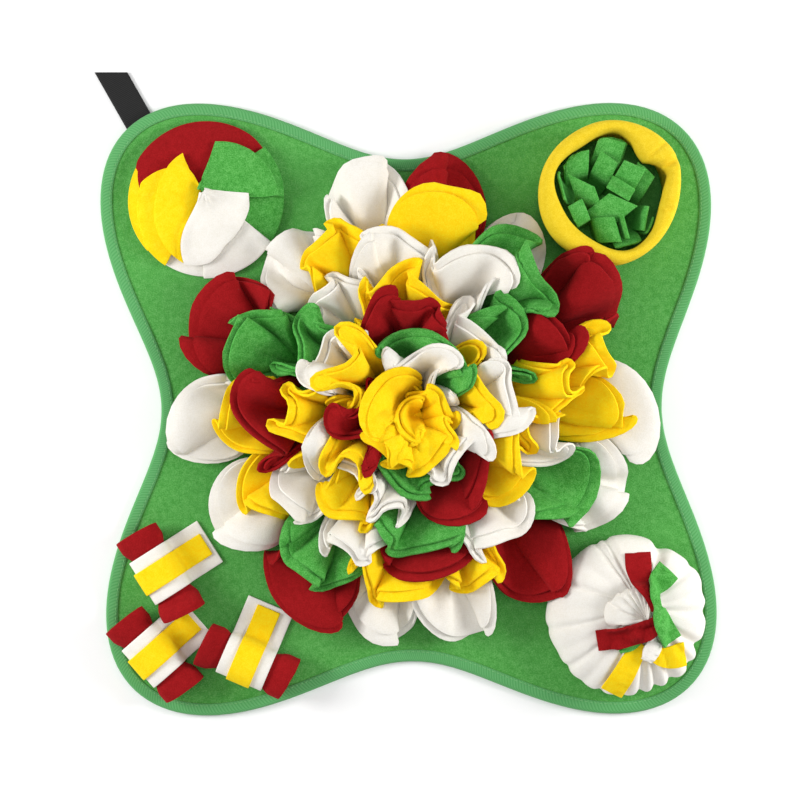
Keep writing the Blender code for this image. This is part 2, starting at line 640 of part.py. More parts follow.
def build_flap_disc(heap):
    """A white base disc with overlapping flaps sewn round its rim."""
    centre = np.array(FLAP_DISC_CENTRE)
    bearings = np.radians(np.arange(FLAP_DISC_SIDES) * 360.0 / FLAP_DISC_SIDES)
    foot = MAT_TOP + SEAT_GAP
    ring = centre + FLAP_DISC_RADIUS * np.stack([np.cos(bearings), np.sin(bearings)], axis=-1)
    rings = [np.column_stack([ring, np.full(FLAP_DISC_SIDES, level)]) for level in (foot, foot + FLEECE)]
    add_loft("flap_disc", np.array(rings), material("fleece_white", FLEECE_WHITE, 0.95))
    for share in np.linspace(0.0, 1.0, FLAP_DISC_SIDES):
        inner = centre + (ring - centre) * share
        cells = heap.cell_of(inner[:, 0], inner[:, 1])
        np.maximum.at(heap.top, cells, foot + FLEECE)
    for name, colour, inner_share, edge in FLAPS:
        edge = np.array(edge, dtype=float)
        steps = np.linspace(0, len(edge) - 1, FLAP_GRID[1])
        bearing = np.interp(steps, range(len(edge)), edge[:, 0])
        radius = np.interp(steps, range(len(edge)), edge[:, 1])
        out = np.linspace(1.0, inner_share, FLAP_GRID[0])[:, None]
        reach = out * radius[None, :]
        angle = np.radians(bearing)[None, :]
        dome = foot + FLEECE + SEAT_GAP + FLEECE / 2 + FLAP_DOME * (1 - (reach / FLAP_DISC_RADIUS) ** 2)
        grid = np.stack([centre[0] + reach * np.cos(angle), centre[1] + reach * np.sin(angle), dome],
                        axis=-1)
        grid = drape(grid, heap, FLEECE, held_rows=0, reach=FLAP_REACH, margin=FLAP_MARGIN)
        add_sheet(f"flap_{name}", grid, FLEECE, material(f"fleece_{colour}", COLOURS[colour], 0.95))


def build_cup(heap):
    """A fleece cup with a thick turned rim, and strips that stand in it."""
    bearings = np.arange(CUP_COLUMNS) * 360.0 / CUP_COLUMNS
    outer = round_table(bearings, CUP_RIM, 1)
    inner = round_table(bearings, CUP_RIM, 2)
    foot_outer = 0.65 * CUP_FOOT_RADIUS + 0.35 * outer
    foot_inner = foot_outer - CUP_WALL
    foot = MAT_TOP + SEAT_GAP
    section = (
        (foot_outer, foot),
        (0.4 * foot_outer + 0.6 * outer, 0.45 * CUP_HEIGHT),
        (outer, 0.80 * CUP_HEIGHT),
        (outer - 2.5, 0.94 * CUP_HEIGHT),
        ((outer + inner) / 2, CUP_HEIGHT),
        (inner + 2.5, 0.94 * CUP_HEIGHT),
        (inner, 0.80 * CUP_HEIGHT),
        ((inner + foot_inner) / 2, 0.5 * CUP_HEIGHT),
        (foot_inner, foot),
    )
    angle = np.radians(bearings)
    rings = []
    for radius, level in section:
        rings.append(np.column_stack([CUP_CENTRE[0] + radius * np.cos(angle),
                                      CUP_CENTRE[1] + radius * np.sin(angle),
                                      np.full(CUP_COLUMNS, level)]))
    rings = np.array(rings)
    add_loft("cup", rings, material("fleece_yellow", FLEECE_YELLOW, 0.95), closed_section=True)
    heap.add(np.concatenate([rings, rings[:, :1]], axis=1), 0.0)


def ribbon(path, width, thickness):
    """Rings of four corners along a path of (x, y, z, face bearing)."""
    rings = []
    for index, (x, y, z, face) in enumerate(path):
        before = path[max(index - 1, 0)]
        after = path[min(index + 1, len(path) - 1)]
        along = np.array(after[:3]) - np.array(before[:3])
        along /= np.linalg.norm(along)
        side = np.array([-math.sin(math.radians(face)), math.cos(math.radians(face)), 0.0])
        out = np.cross(side, along)
        out /= np.linalg.norm(out)
        middle = np.array([x, y, z])
        rings.append([middle + side * width / 2 * i + out * thickness / 2 * j
                      for i, j in ((1, 1), (-1, 1), (-1, -1), (1, -1))])
    return np.array(rings)


def build_cup_strips():
    """Green fleece strips that rise from one round backing and bend over at their tips."""
    green = material("fleece_green", FLEECE_GREEN, 0.95)
    foot = MAT_TOP + SEAT_GAP
    bpy.ops.mesh.primitive_cylinder_add(
        vertices=24, radius=STRIP_BACKING_RADIUS * MM, depth=FLEECE * MM,
        location=(CUP_CENTRE[0] * MM, CUP_CENTRE[1] * MM, (foot + FLEECE / 2) * MM))
    backing = bpy.context.object
    backing.name = "cup_strips"
    backing.data.materials.append(green)
    for owner in list(backing.users_collection):
        owner.objects.unlink(backing)
    collection.objects.link(backing)
    for index, (root_x, root_y, bearing, lean, face) in enumerate(STRIPS):
        x = CUP_CENTRE[0] + root_x
        y = CUP_CENTRE[1] + root_y
        z = foot + FLEECE / 2
        path = [(x, y, z, face)]
        stride = STRIP_LENGTH * STRIP_CLEAR / STRIP_STEPS
        for step in range(1, STRIP_STEPS + 1):
            slope = math.radians(90.0 - lean * (step / STRIP_STEPS) ** STRIP_BENDS_LATE)
            x += stride * math.cos(slope) * math.cos(math.radians(bearing))
            y += stride * math.cos(slope) * math.sin(math.radians(bearing))
            z += stride * math.sin(slope)
            path.append((x, y, z, face))
        strip = add_loft(f"strip_{index}", ribbon(path, STRIP_WIDTH, FLEECE), green)
        collection.objects.unlink(strip)
        cutters.objects.link(strip)
        strip.hide_render = True
        strip.display_type = "WIRE"
        union = backing.modifiers.new(f"Join {index}", "BOOLEAN")
        union.operation = "UNION"
        union.object = strip


def oval(half_width, half_height, angles):
    """A soft oval section, squarer than an ellipse."""
    cosine, sine = np.cos(angles), np.sin(angles)
    return (half_width * np.sign(cosine) * np.abs(cosine) ** 0.85,
            half_height * np.sign(sine) * np.abs(sine) ** 0.85)


def build_roll(heap, name, middle_x, middle_y, bearing, tail, lift_first, lift_second):
    """A red fleece roll held down by a white band with a flat tail and a yellow stripe."""
    angle = math.radians(bearing)
    axis = np.array([math.cos(angle), math.sin(angle)])
    toward_tail = np.array([-axis[1], axis[0]])
    middle = np.array([middle_x, middle_y])

    def place(along, across, level):
        plan = middle + np.multiply.outer(along, axis) + np.multiply.outer(across, toward_tail)
        return np.column_stack([plan, level])

    foot = MAT_TOP + SEAT_GAP
    half = ROLL_LENGTH / 2
    band = BAND_WIDTH / 2
    angles = np.radians(np.arange(ROLL_SIDES) * 360.0 / ROLL_SIDES)
    rings = []
    tight, full = (band + swell for swell in ROLL_SWELLS)
    short, end_scale = half - ROLL_SOFT_END[0], ROLL_SOFT_END[1]
    for along, scale in ((-half, end_scale), (-short, 1.0), (-full, 1.0), (-tight, ROLL_WAIST),
                         (tight, ROLL_WAIST), (full, 1.0), (short, 1.0), (half, end_scale)):
        across, level = oval(ROLL_HALF_WIDTH * scale, ROLL_HALF_HEIGHT * scale, angles)
        lift = lift_first if along < 0 else lift_second
        lift = lift * smoothstep(tight, short, abs(along))
        level = foot + ROLL_HALF_HEIGHT * ROLL_WAIST + np.maximum(level, -ROLL_HALF_HEIGHT * ROLL_WAIST)
        rings.append(place(np.full(ROLL_SIDES, along), across, level + lift))
    add_loft(f"{name}_red", np.array(rings), material("fleece_red", FLEECE_RED, 0.95))

    centre_level = foot + ROLL_HALF_HEIGHT * ROLL_WAIST
    for part, colour, thickness, offset, width, tail_end in (
            ("band", "white", FLEECE, 2 * SEAT_GAP + FLEECE / 2, BAND_WIDTH, tail),
            ("stripe", "yellow", STRIPE_THICKNESS, 3.5 * SEAT_GAP + FLEECE + STRIPE_THICKNESS / 2,
             STRIPE_WIDTH, tail - 3.5)):
        low = foot - 2 * SEAT_GAP + offset
        side = ROLL_HALF_WIDTH * ROLL_WAIST + offset
        over = ROLL_HALF_HEIGHT * ROLL_WAIST + offset
        across, level = oval(side, over, np.radians(np.linspace(0.0, 180.0, ROLL_SIDES // 2 + 1)))
        far_low = foot + thickness / 2 if part == "band" else foot + 4.0
        path = [(tail_end, low), (side + 7.0, low), (side + 1.8, low + 1.6), (side + 0.2, low + 5.0)]
        path += [(a, centre_level + b) for a, b in zip(across, level)]
        path.append((-side, far_low))
        path = np.array(path)
        columns = []
        for along in np.linspace(-width / 2, width / 2, 3):
            columns.append(place(np.full(len(path), along), path[:, 0], path[:, 1]))
        grid = np.stack(columns, axis=1)
        add_sheet(f"{name}_{part}", grid, thickness, material(f"fleece_{colour}", COLOURS[colour], 0.95))
        heap.add(grid, thickness)


def build_pouch(heap):
    """A filled pouch, pleated into a gathered neck that flares into a small frill."""
    bearings = np.arange(POUCH_COLUMNS) * 360.0 / POUCH_COLUMNS
    angle = np.radians(bearings)
    outline = round_table(bearings, POUCH_OUTLINE, 1)
    pleat = np.cos(POUCH_PLEATS * angle)
    foot = MAT_TOP + SEAT_GAP
    section = (
        # share of the outline, level, pleat depth, how far the middle has moved to the neck
        (0.84, foot, 0.6, 0.0),
        (0.97, foot + 6.0, 1.0, 0.0),
        (1.00, foot + 15.0, 1.4, 0.0),
        (0.94, foot + 26.0, 1.8, 0.1),
        (0.78, foot + 35.0, 2.0, 0.3),
        (0.55, foot + 40.0, 2.2, 0.6),
        (0.32, foot + 41.0, 1.8, 0.9),
        (0.17, foot + 42.5, 1.0, 1.0),
        (0.15, foot + 45.5, 1.0, 1.0),
        (0.24, foot + 49.5, 2.0, 1.0),
        (0.18, foot + 50.5, 1.4, 1.0),
    )
    rings = []
    for share, level, depth, moved in section:
        radius = outline * share + depth * pleat
        if share < POUCH_ROUND[0]:
            radius = POUCH_ROUND[1] * share + depth * pleat
        centre = np.array(POUCH_CENTRE) * (1 - moved) + np.array(POUCH_NECK) * moved
        rings.append(np.column_stack([centre[0] + radius * np.cos(angle),
                                      centre[1] + radius * np.sin(angle),
                                      np.full(POUCH_COLUMNS, level)]))
    rings = np.array(rings)
    add_loft("pouch", rings, material("fleece_white", FLEECE_WHITE, 0.95))
    heap.add(np.concatenate([rings, rings[:, :1]], axis=1), 0.0)
    for name, colour, path in TIES:
        line = through(path, TIE_STEPS)
        side = np.gradient(line[:, :2], axis=0)
        side = np.column_stack([-side[:, 1], side[:, 0]])
        side /= np.linalg.norm(side, axis=1, keepdims=True)
        columns = []
        for share in (-0.5, 0.0, 0.5):
            plan = line[:, :2] + side * (line[:, 2] * share)[:, None]
            columns.append(np.column_stack([plan, np.full(len(line), foot)]))
        grid = drape(np.stack(columns, axis=1), heap, FLEECE, held_rows=0, reach=TIE_REACH,
                     margin=TIE_MARGIN)
        add_sheet(name, grid, FLEECE, material(f"fleece_{colour}", COLOURS[colour], 0.95))


for leftover in list(bpy.data.objects):
    bpy.data.objects.remove(leftover, do_unlink=True)
collection = bpy.data.collections.new("snuffle_mat")
bpy.context.scene.collection.children.link(collection)
cutters = bpy.data.collections.new("strip_joiners")
bpy.context.scene.collection.children.link(cutters)

laid = Heap(MAT_TOP)
build_mat()
build_strap()
for roll in ROLLS:
    build_roll(laid, *roll)
build_cup(laid)
build_cup_strips()
build_flap_disc(laid)
build_pouch(laid)
build_flower(laid)
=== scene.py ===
"""Snuffle mat, as it looks.

A padded green fleece mat with a bound edge, a flower of gathered fleece petals in the middle and a
treat hide on each lobe: a disc of flaps, a cup of strips, three banded rolls and a tied pouch.
Tables are in millimetres and degrees; meshes are made in metres. The origin is the middle of the
mat on its flat underside, +Z is up.
"""
import math

import bmesh
import bpy
import numpy as np
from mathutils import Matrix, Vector


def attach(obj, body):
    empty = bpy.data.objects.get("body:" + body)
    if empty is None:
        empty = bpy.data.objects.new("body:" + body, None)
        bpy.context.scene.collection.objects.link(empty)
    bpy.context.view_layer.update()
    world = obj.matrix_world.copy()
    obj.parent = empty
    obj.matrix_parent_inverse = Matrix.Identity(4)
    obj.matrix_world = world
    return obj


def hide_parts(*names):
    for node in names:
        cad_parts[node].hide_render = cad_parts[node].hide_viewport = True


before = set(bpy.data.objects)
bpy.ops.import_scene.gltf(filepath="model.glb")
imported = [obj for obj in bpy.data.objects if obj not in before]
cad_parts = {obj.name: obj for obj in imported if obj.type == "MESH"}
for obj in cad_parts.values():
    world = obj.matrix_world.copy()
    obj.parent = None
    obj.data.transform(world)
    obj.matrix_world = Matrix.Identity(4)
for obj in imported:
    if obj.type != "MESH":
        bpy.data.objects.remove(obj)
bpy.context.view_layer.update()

bpy.ops.object.select_all(action="DESELECT")

MM = 0.001

# Driving sizes of the mat
MAT_TOP = 4.4  # padded fleece, two layers with a thin wadding
BINDING_TAPE = 0.9  # thickness of the folded twill tape
BINDING_WIDTH = 10.0  # how far each leg of the tape reaches in from the edge
SEAT_GAP = 0.3  # between pieces that touch
EDGE_STEPS = 320  # points round the mat's outline
FLEECE = 2.0  # thickness of one fleece piece
STRAP_WIDTH = 23.5
STRAP_THICKNESS = 1.5
ON_MAT = MAT_TOP + SEAT_GAP  # underside of the pieces that lie on the mat

# The mat's outline, as distance from its middle: mean + sum of cos and sin of n * bearing
OUTLINE_MEAN = 259.9
OUTLINE_WAVES = (
    # waves round the mat, cosine part, sine part
    (1, 2.2, -1.2),
    (2, -0.4, -0.9),
    (3, 1.5, 0.7),
    (4, -58.8, -2.0),
    (6, 0.0, 0.6),
    (8, 4.6, 0.3),
)

# Rings of the flower: where petals are sewn on, and how they rise from root to rim
RINGS = {
    # root: usual root radius, reach: usual rim radius, rise and fall: slope at root and at rim,
    # root_width: width of the gathered root
    "A": dict(root=130.0, reach=193.0, rise=30.0, fall=-16.0, root_width=20.0),
    "B": dict(root=102.0, reach=160.0, rise=36.0, fall=20.0, root_width=22.0),
    "C": dict(root=79.0, reach=128.0, rise=40.0, fall=28.0, root_width=22.0),
    "D": dict(root=55.0, reach=95.0, rise=46.0, fall=34.0, root_width=20.0),
    "E": dict(root=29.0, reach=58.0, rise=52.0, fall=38.0, root_width=18.0),
    "F": dict(root=3.0, reach=34.0, rise=60.0, fall=28.0, root_width=11.0),
}

PETALS = (
    # name, colour, bearing, reach, width, how many folds, depth of its ruffles, where they start in
    # degrees, how far its sides curl up, whether it stands for a solid of its own
    ("A03", "white", 56, 181, 58, 2.0, 9.6, 90, 0, True),
    ("A06", "white", 127, 171, 75, 4.0, 13.0, 30, -3, True),
    ("A11", "white", 263, 190, 62, 2.0, 9.6, 100, 3, True),
    ("A12", "white", 284, 193, 66, 2.0, 8.6, 240, 0, True),
    ("A01", "white", 0.5, 197, 79, 1.6, 5.8, 60, 0, True),
    ("A02", "red", 31.5, 195, 68, 2.6, 15.0, 0, 8, True),
    ("A04", "red", 80, 200, 74, 1.6, 7.7, 0, 0, True),
    ("A05", "white", 101, 202, 70, 2.0, 9.6, 120, 0, True),
    ("A07", "red", 155, 193, 85, 2.2, 12.0, 200, -6, True),
    ("A08", "white", 183, 192, 71, 1.6, 6.8, 90, 0, True),
    ("A09", "white", 212, 183, 76, 1.6, 7.7, 0, 0, True),
    ("A10", "red", 240, 191, 78, 2.4, 12.0, 45, 9, True),
    ("A13", "red", 309, 188, 72, 2.2, 14.0, 0, 5, True),
    ("A14", "white", 337, 193, 80, 2.7, 11.5, 150, 5, True),
    ("B01", "yellow", 0.5, 172, 56, 1.8, 4.8, 90, 0, False),
    ("B02", "yellow", 16, 168, 48, 2.9, 13.3, 0, 9, False),
    ("B05", "yellow", 82, 182, 72, 1.8, 11.4, 90, -5, False),
    ("B06", "yellow", 113, 159, 70, 3.0, 18.0, 0, 5, True),
    ("B07", "green", 158, 156, 70, 3.6, 14.2, 0, -3, True),
    ("B09", "yellow", 209, 152, 62, 2.2, 9.5, 0, 0, False),
    ("B08", "yellow", 183, 154, 64, 2.9, 9.5, 90, 0, False),
    ("B10", "green", 239, 161, 72, 2.9, 11.4, 120, -8, True),
    ("B11", "yellow", 267, 159, 70, 2.9, 12.3, 0, 6, False),
    ("B12", "yellow", 292, 157, 60, 2.9, 12.3, 60, 6, True),
    ("B03", "red", 26, 141, 70, 1.8, 14.2, 60, -9, True),
    ("B04", "green", 56, 166, 80, 2.2, 18.1, 200, 12, True),
    ("B13", "green", 332, 155, 78, 1.8, 19.0, 180, 16, True),
    ("C13", "red", 277, 141, 72, 2.2, 7.6, 0, -4, False),
    ("C05", "white", 95, 143, 76, 2.9, 11.4, 180, -5, True),
    ("C06", "white", 122, 122, 60, 3.6, 13.3, 0, 0, False),
    ("C02", "white", 348, 127, 58, 3.6, 13.3, 90, 0, False),
    ("C01", "yellow", 8, 134, 52, 3.6, 13.3, 0, 0, False),
    ("C12", "white", 307, 135, 64, 2.9, 11.4, 90, 5, False),
    ("C10", "white", 247, 127, 58, 3.6, 12.3, 200, 0, False),
    ("C09", "white", 218, 129, 56, 3.6, 12.3, 90, 0, False),
    ("C04", "white", 66, 139, 62, 2.2, 16.1, 20, 10, False),
    ("C03", "green", 41, 112, 66, 2.2, 18.1, 230, 12, True),
    ("C08", "red", 183, 136, 72, 2.9, 17.1, 0, 8, True),
    ("C11", "green", 277, 120, 72, 2.9, 12.3, 0, -6, True),
    ("C07", "green", 146, 108, 70, 3.6, 17.1, 60, 8, True),
    ("D02", "yellow", 352, 105, 54, 3.6, 14.2, 40, 0, False),
    ("D15", "yellow", 326, 107, 76, 2.2, 16.1, 0, 8, False),
    ("D11", "yellow", 238, 105, 54, 2.9, 12.3, 90, 6, False),
    ("D08", "yellow", 186, 101, 64, 3.6, 15.2, 180, 7, False),
    ("D04", "yellow", 92, 110, 76, 3.6, 15.2, 0, 6, True),
    ("D03", "white", 48, 94, 60, 2.9, 14.2, 150, 6, False),
    ("D01", "white", 0, 92, 60, 2.2, 13.3, 0, 7, True),
    ("D12", "white", 260, 88, 50, 3.6, 14.2, 0, 0, False),
    ("D14", "red", 305, 90, 80, 2.2, 16.1, 0, 8, True),
    ("D05", "red", 93, 90, 72, 3.6, 14.2, 60, -8, False),
    ("D06", "white", 148, 86, 60, 3.6, 14.2, 0, 8, False),
    ("D09", "white", 210, 82, 68, 2.2, 11.4, 0, 10, True),
    ("E10", "yellow", 212, 72, 66, 3.6, 14.2, 0, 8, False),
    ("E13", "green", 284, 71, 70, 2.9, 11.4, 60, -6, True),
    ("E07", "yellow", 140, 70, 66, 2.9, 16.1, 90, 9, False),
    ("E08", "yellow", 12, 69, 56, 2.2, 13.3, 0, 13, False),
    ("E01", "green", 60, 63, 74, 2.2, 11.4, 90, 9, True),
    ("E04", "white", 318, 65, 64, 2.2, 13.3, 60, -5, False),
    ("E03", "red", 198, 54, 60, 3.6, 16.1, 0, 9, False),
    ("E02", "white", 70, 49, 62, 3.6, 13.3, 0, 7, False),
    ("F08", "yellow", 225, 36, 50, 3.2, 8.0, 40, 5, False),
    ("F05", "yellow", 130, 45, 52, 1.2, 7.0, 0, 12, False),
    ("F07", "yellow", 25, 36, 46, 2.6, 8.0, 90, 8, False),
    ("F06", "yellow", 300, 38, 56, 4.4, 9.5, 0, 6, True),
    ("F09", "yellow", 185, 11, 30, 1.2, 4.0, 30, 5, False),
)
# Each petal is a disc folded double: its inner fold follows the same ruffles on the upper side
FOLD_REACH = (0.89, 0.05)  # its length, as a share of the petal's, and how far that wanders
FOLD_WIDTH = 0.94  # its width, as a share of the petal's
FOLD_STEP = 2.4  # from the middle of one layer to the middle of the next
FOLD_OPENS = 2.5  # how much further apart they are at the rim
ROSETTE_CENTRE = (2.0, -12.0)  # the top ring of the flower sits a little towards -Y
PETAL_ROWS = 14  # a petal is draped as a fine grid
PETAL_COLUMNS = (21, 10)  # its columns: fewest, and more for each fold

# Hides on the four lobes: each centre is on the mat, and its hide's places are measured from there
FLAP_DISC_CENTRE = (-164.0, 170.0)
FLAP_DISC_RADIUS = 62.5
FLAP_DISC_STEPS = 120
FLAP_DISC_SECTION = (
    # inset from the rim, level
    (20.0, 0.0), (0.6, 0.0), (0.0, 0.6), (0.0, FLEECE - 0.6), (0.6, FLEECE), (20.0, FLEECE),
)
FLAP_DOME = 9.0  # how far the flaps rise towards the middle of the disc
FLAP_WRINKLE = (0.5, 5.0, 9.0)  # height of their wrinkles, waves across and along a flap
FLAP_ROWS = 18
FLAP_COLUMNS = 41
FLAPS_MEET = (-1.0, 6.5)  # the point where they meet, from the disc's middle
FLAP_TUCK = 6.0  # how far the lower ones run on under the point
FLAP_OVERHANG = (60.0, 1.035)  # flaps that reach past this radius hang over the rim by this share
FLAPS = (
    # name, colour, inner share of the radius, how far its first and last sides bow round the disc
    # in degrees, how high it bulges, whether it is tucked under, whether it has a node of its own,
    # then (bearing, radius) round the outer edge
    ("yellow_back", "yellow", 0.72, 0.0, 0.0, 1.0, True, True,
     ((150, 61), (168, 61.5), (185, 62), (200, 62), (221, 61.5))),
    ("red", "red", 0.10, 0.0, 0.0, 1.0, True, True,
     ((173, 53), (162, 58), (150, 62), (120, 62), (85, 62), (55, 62), (40, 60))),
    ("yellow_mid", "yellow", 0.50, -30.0, 0.0, 4.0, True, True,
     ((166, 53), (180, 55), (195, 57), (212, 60), (238, 61))),
    ("yellow_front", "yellow", 0.06, 4.0, -13.0, 6.0, False, True,
     ((116, 41), (150, 38), (180, 39), (216, 47), (236, 52), (251, 55))),
    ("green_low", "green", 0.45, 0.0, 0.0, 1.0, True, True,
     ((6, 61), (-8, 61), (-20, 61), (-37, 61))),
    ("green_back", "green", 0.62, 0.0, 0.0, 0.5, True, False,
     ((42, 62), (30, 62), (16, 62), (2, 61.5))),
    ("green_front", "green", 0.08, 0.0, -4.0, 3.5, True, True,
     ((80, 47), (62, 51), (40, 55), (20, 58), (3, 60))),
    ("white_low", "white", 0.50, 0.0, 0.0, 2.0, True, True,
     ((-33, 61), (-50, 61.5), (-70, 61.5), (-92, 62))),
    ("white_front", "white", 0.06, 0.0, -13.0, 5.0, False, True,
     ((6, 36), (-25, 37), (-45, 38), (-66, 41), (-86, 52), (-108, 56))),
)

CUP_CENTRE = (161.8, 172.3)
CUP_HEIGHT = 54.0
CUP_FOOT_RADIUS = 50.0
CUP_FOOT_FOLLOWS = 0.35  # how far the foot follows the outline of the rim
CUP_WALL = 5.0
CUP_STEPS = 288
CUP_OUTSIDE = ((0.2, 0.25), (0.6, 0.45), (0.8, 0.62))  # shares of the way out to the rim, and up
CUP_INSIDE = ((0.8, 0.66), (0.5, 0.5), (0.2, 0.25))
CUFF_LOW = 0.76  # where the turned rim starts, as a share of the height
CUFF_ROUNDING = (0.8, 0.75)  # powers that square its section a little, across and up
CUFF_TURNS = 17
CUP_RIM = (
    # bearing, outer radius of the turned rim
    (0, 54.5), (30, 60.0), (52, 58.5), (75, 56.8), (95, 56.5), (120, 55.2), (150, 56.5),
    (180, 57.5), (210, 59.0), (240, 58.0), (270, 59.5), (300, 56.5), (330, 53.8),
)
CUFF_INNER = (
    # bearing, inner radius of the turned rim
    (0, 41.0), (10, 42.5), (20, 50.0), (26, 51.0), (32, 34.0), (42, 33.5), (52, 34.5), (64, 38.0),
    (73, 45.0), (82, 47.5), (100, 45.5), (120, 41.5), (140, 44.0), (160, 47.5), (180, 44.0),
    (195, 40.5), (229, 39.5), (252, 41.0), (274, 46.5), (286, 49.5), (300, 48.0), (319, 44.5),
    (338, 39.5),
)
CUFF_CREASES = (
    # bearing, how deep the crease cuts into the rim, half width in degrees
    (42.0, 1.8, 2.0), (26.0, 5.5, 3.0), (341.0, 2.2, 3.0), (205.0, 0.5, 4.0), (118.0, 0.6, 4.0),
)

STRIP_BACKING_RADIUS = 30.0
STRIP_BACKING_SECTION = ((20.0, 0.0), (0.0, 0.0), (0.0, FLEECE), (20.0, FLEECE))
STRIP_BACKING_STEPS = 48
STRIP_STEPS = 16
STRIP_COLUMNS = 9
STRIP_CURVE = 0.06  # how far a strip is curved across its width
STRIP_LEAN = 0.5  # its root lies behind the bend by this share of the way to the tip
STRIP_STALK = (0.6, 0.55)  # a place below the bend: share of the way out, share of the bend's level
STRIP_NOSE = (0.55, 0.7)  # a place past the bend: shares of the way out and up to the tip
STRIP_ROOT_REACH = 24.0  # no root is further than this from the middle
STRIP_WALL_GAP = 2.6  # strips bend along the cup's wall, this far from it
STRIPS = (
    # tip x and y from the cup's middle, x and y where it bends over, bearing of its end edge,
    # width, level of the tip, level of the bend
    (0.9, 41.0, -4.0, 24.0, -14, 22, 47, 37),
    (3.5, 43.0, -1.5, 27.0, -14, 22, 42, 33),
    (-1.3, 27.0, -7.9, 12.5, -36, 17, 47, 38),
    (-26.5, 31.0, -26.5, 14.0, 12, 18, 46, 38),
    (-32.0, 26.0, -30.0, 17.0, 45, 16, 43, 34),
    (18.5, 20.5, 10.6, 6.4, -23, 19, 50, 41),
    (28.5, 18.0, 20.0, 3.0, -45, 18, 44, 36),
    (-24.0, 8.7, -17.0, -8.0, -26, 24, 46, 37),
    (-40.5, 4.8, -37.5, 3.5, -75, 24, 47, 34),
    (5.0, -2.5, 9.5, 6.0, -31, 21, 45, 48),
    (9.9, -6.5, -9.0, -21.0, -24, 25, 45, 34),
    (-29.0, -9.0, -21.8, -23.5, 30, 13, 46, 39),
    (5.7, -30.3, -10.5, -29.6, -74, 21, 45, 35),
    (11.5, -28.3, 8.5, -27.0, -75, 20, 48, 36),
    (28.0, -21.7, 24.0, -20.0, -100, 20, 46, 34),
    (33.0, -27.5, 29.0, -26.0, -114, 14, 43, 32),
    (14.5, -42.5, 12.0, -35.0, 15, 22, 42, 33),
)

ROLL_LENGTH = 75.0
ROLL_HALF_WIDTH = 17.0
ROLL_HALF_HEIGHT = 12.0
ROLL_WAIST = 0.86  # how far the band squeezes the roll
ROLL_HALF_LOW = ROLL_HALF_HEIGHT * ROLL_WAIST
ROLL_CORE = (1.5, 0.6)  # its innermost layer has at least this half width and height
OVAL_POWER = 0.85  # under 1, which makes a roll's section squarer than an ellipse
ROLL_TURNS = 4.0
ROLL_START = 0.35  # bearing in radians of its outer end
ROLL_PITCH = 2.5  # from one layer of a roll to the next
ROLL_PACKED = 0.85  # under the band its layers are drawn together to this share
ROLL_STEPS = 30  # points round one turn
ROLL_STATIONS = 25  # sections along a roll
ROLL_SWELLS = (3.0, 9.0)  # it swells from this far under the band's edge to this far past it
ROLL_PLUMP = 1.12  # its ends are this much wider than where the band starts
ROLL_SLANT = (0.035, 0.04, 0.02)  # how its ends slant: up its sides, out, and more at one end
ROLL_LIFTS = (2.0, 3.0)  # a lift starts this far past the band and is full this far before the end
BAND_WIDTH = 42.0
BAND_SHARE = 0.95  # of the full width, as the band draws in a little
BAND_STEPS = 29
BAND_COLUMNS = 13
STRIPE_WIDTH = 20.0
STRIPE_THICKNESS = 1.6
BANDS = (
    # part, how much shorter its tail is, colour, thickness, from the roll to its middle, width,
    # height over the mat where it ends behind the roll
    ("band", 0.0, "white", FLEECE, 2 * SEAT_GAP + FLEECE / 2, BAND_WIDTH * BAND_SHARE, FLEECE / 2),
    ("stripe", 3.5, "yellow", STRIPE_THICKNESS, 3.5 * SEAT_GAP + FLEECE + STRIPE_THICKNESS / 2,
     STRIPE_WIDTH, 4.0),
)
TAIL_STEPS = 7  # points along the flat tail
FAR_STEPS = 6  # and down behind the roll
TAIL_BEND = (
    # how the band leaves the roll for its flat tail: distance from the roll, level over the tail
    (9.0, 0.0), (5.5, 0.25), (3.0, 0.9), (1.4, 2.2), (0.5, 4.2),
)
ROLLS = (
    # name, middle x and y, bearing of its axis, tail length, lift of its first and second end
    ("roll_1", -200.5, -134.0, -57.5, 46.5, 1.4, 9.0),
    ("roll_2", -205.8, -200.8, -48.8, 45.0, 1.4, 0.0),
    ("roll_3", -130.5, -206.0, -23.0, 49.0, 5.6, 1.4),
)

POUCH_CENTRE = (176.5, -168.5)
POUCH_NECK = (184.0, -160.5)
POUCH_NECK_RADIUS = 64.0  # near the neck the profile's shares are of this, as it is round
POUCH_STEPS = 240
POUCH_RINGS = 45
POUCH_OUTLINE = (
    # bearing, radius at its widest
    (0, 65.5), (30, 69.5), (60, 64.5), (90, 66.5), (120, 63.0), (150, 63.0), (180, 64.5),
    (210, 61.5), (240, 64.5), (270, 64.5), (300, 63.5), (318, 68.0), (335, 64.0),
)
POUCH_PROFILE = (
    # share of the outline, level, share of the pleats' depth, how far the middle has moved
    (0.84, 0.0, 0.2, 0.0),
    (0.97, 6.0, 0.5, 0.0),
    (1.00, 15.0, 0.8, 0.0),
    (0.94, 26.0, 1.0, 0.1),
    (0.78, 35.0, 1.1, 0.3),
    (0.55, 40.0, 1.1, 0.6),
    (0.32, 41.0, 0.9, 0.9),
    (0.17, 42.5, 0.5, 1.0),
    (0.15, 45.5, 0.4, 1.0),
    (0.24, 49.5, 0.9, 1.0),
    (0.18, 50.5, 0.6, 1.0),
)
PLEATS = (
    # valleys in the pouch: bearing, depth, half width in degrees
    (4, 4.0, 5), (18, 3.0, 6), (38, 2.2, 3), (64, 6.5, 5), (104, 3.0, 2.5), (111, 2.6, 2.5),
    (130, 1.0, 6), (150, 2.6, 3), (172, 0.8, 6), (189, 1.8, 3), (207, 0.8, 5), (221, 2.2, 3),
    (236, 1.6, 4), (251, 3.2, 3), (266, 4.0, 3), (281, 5.0, 3), (293, 5.0, 3), (306, 5.4, 3.5),
    (323, 4.6, 3.5), (338, 6.0, 4),
)
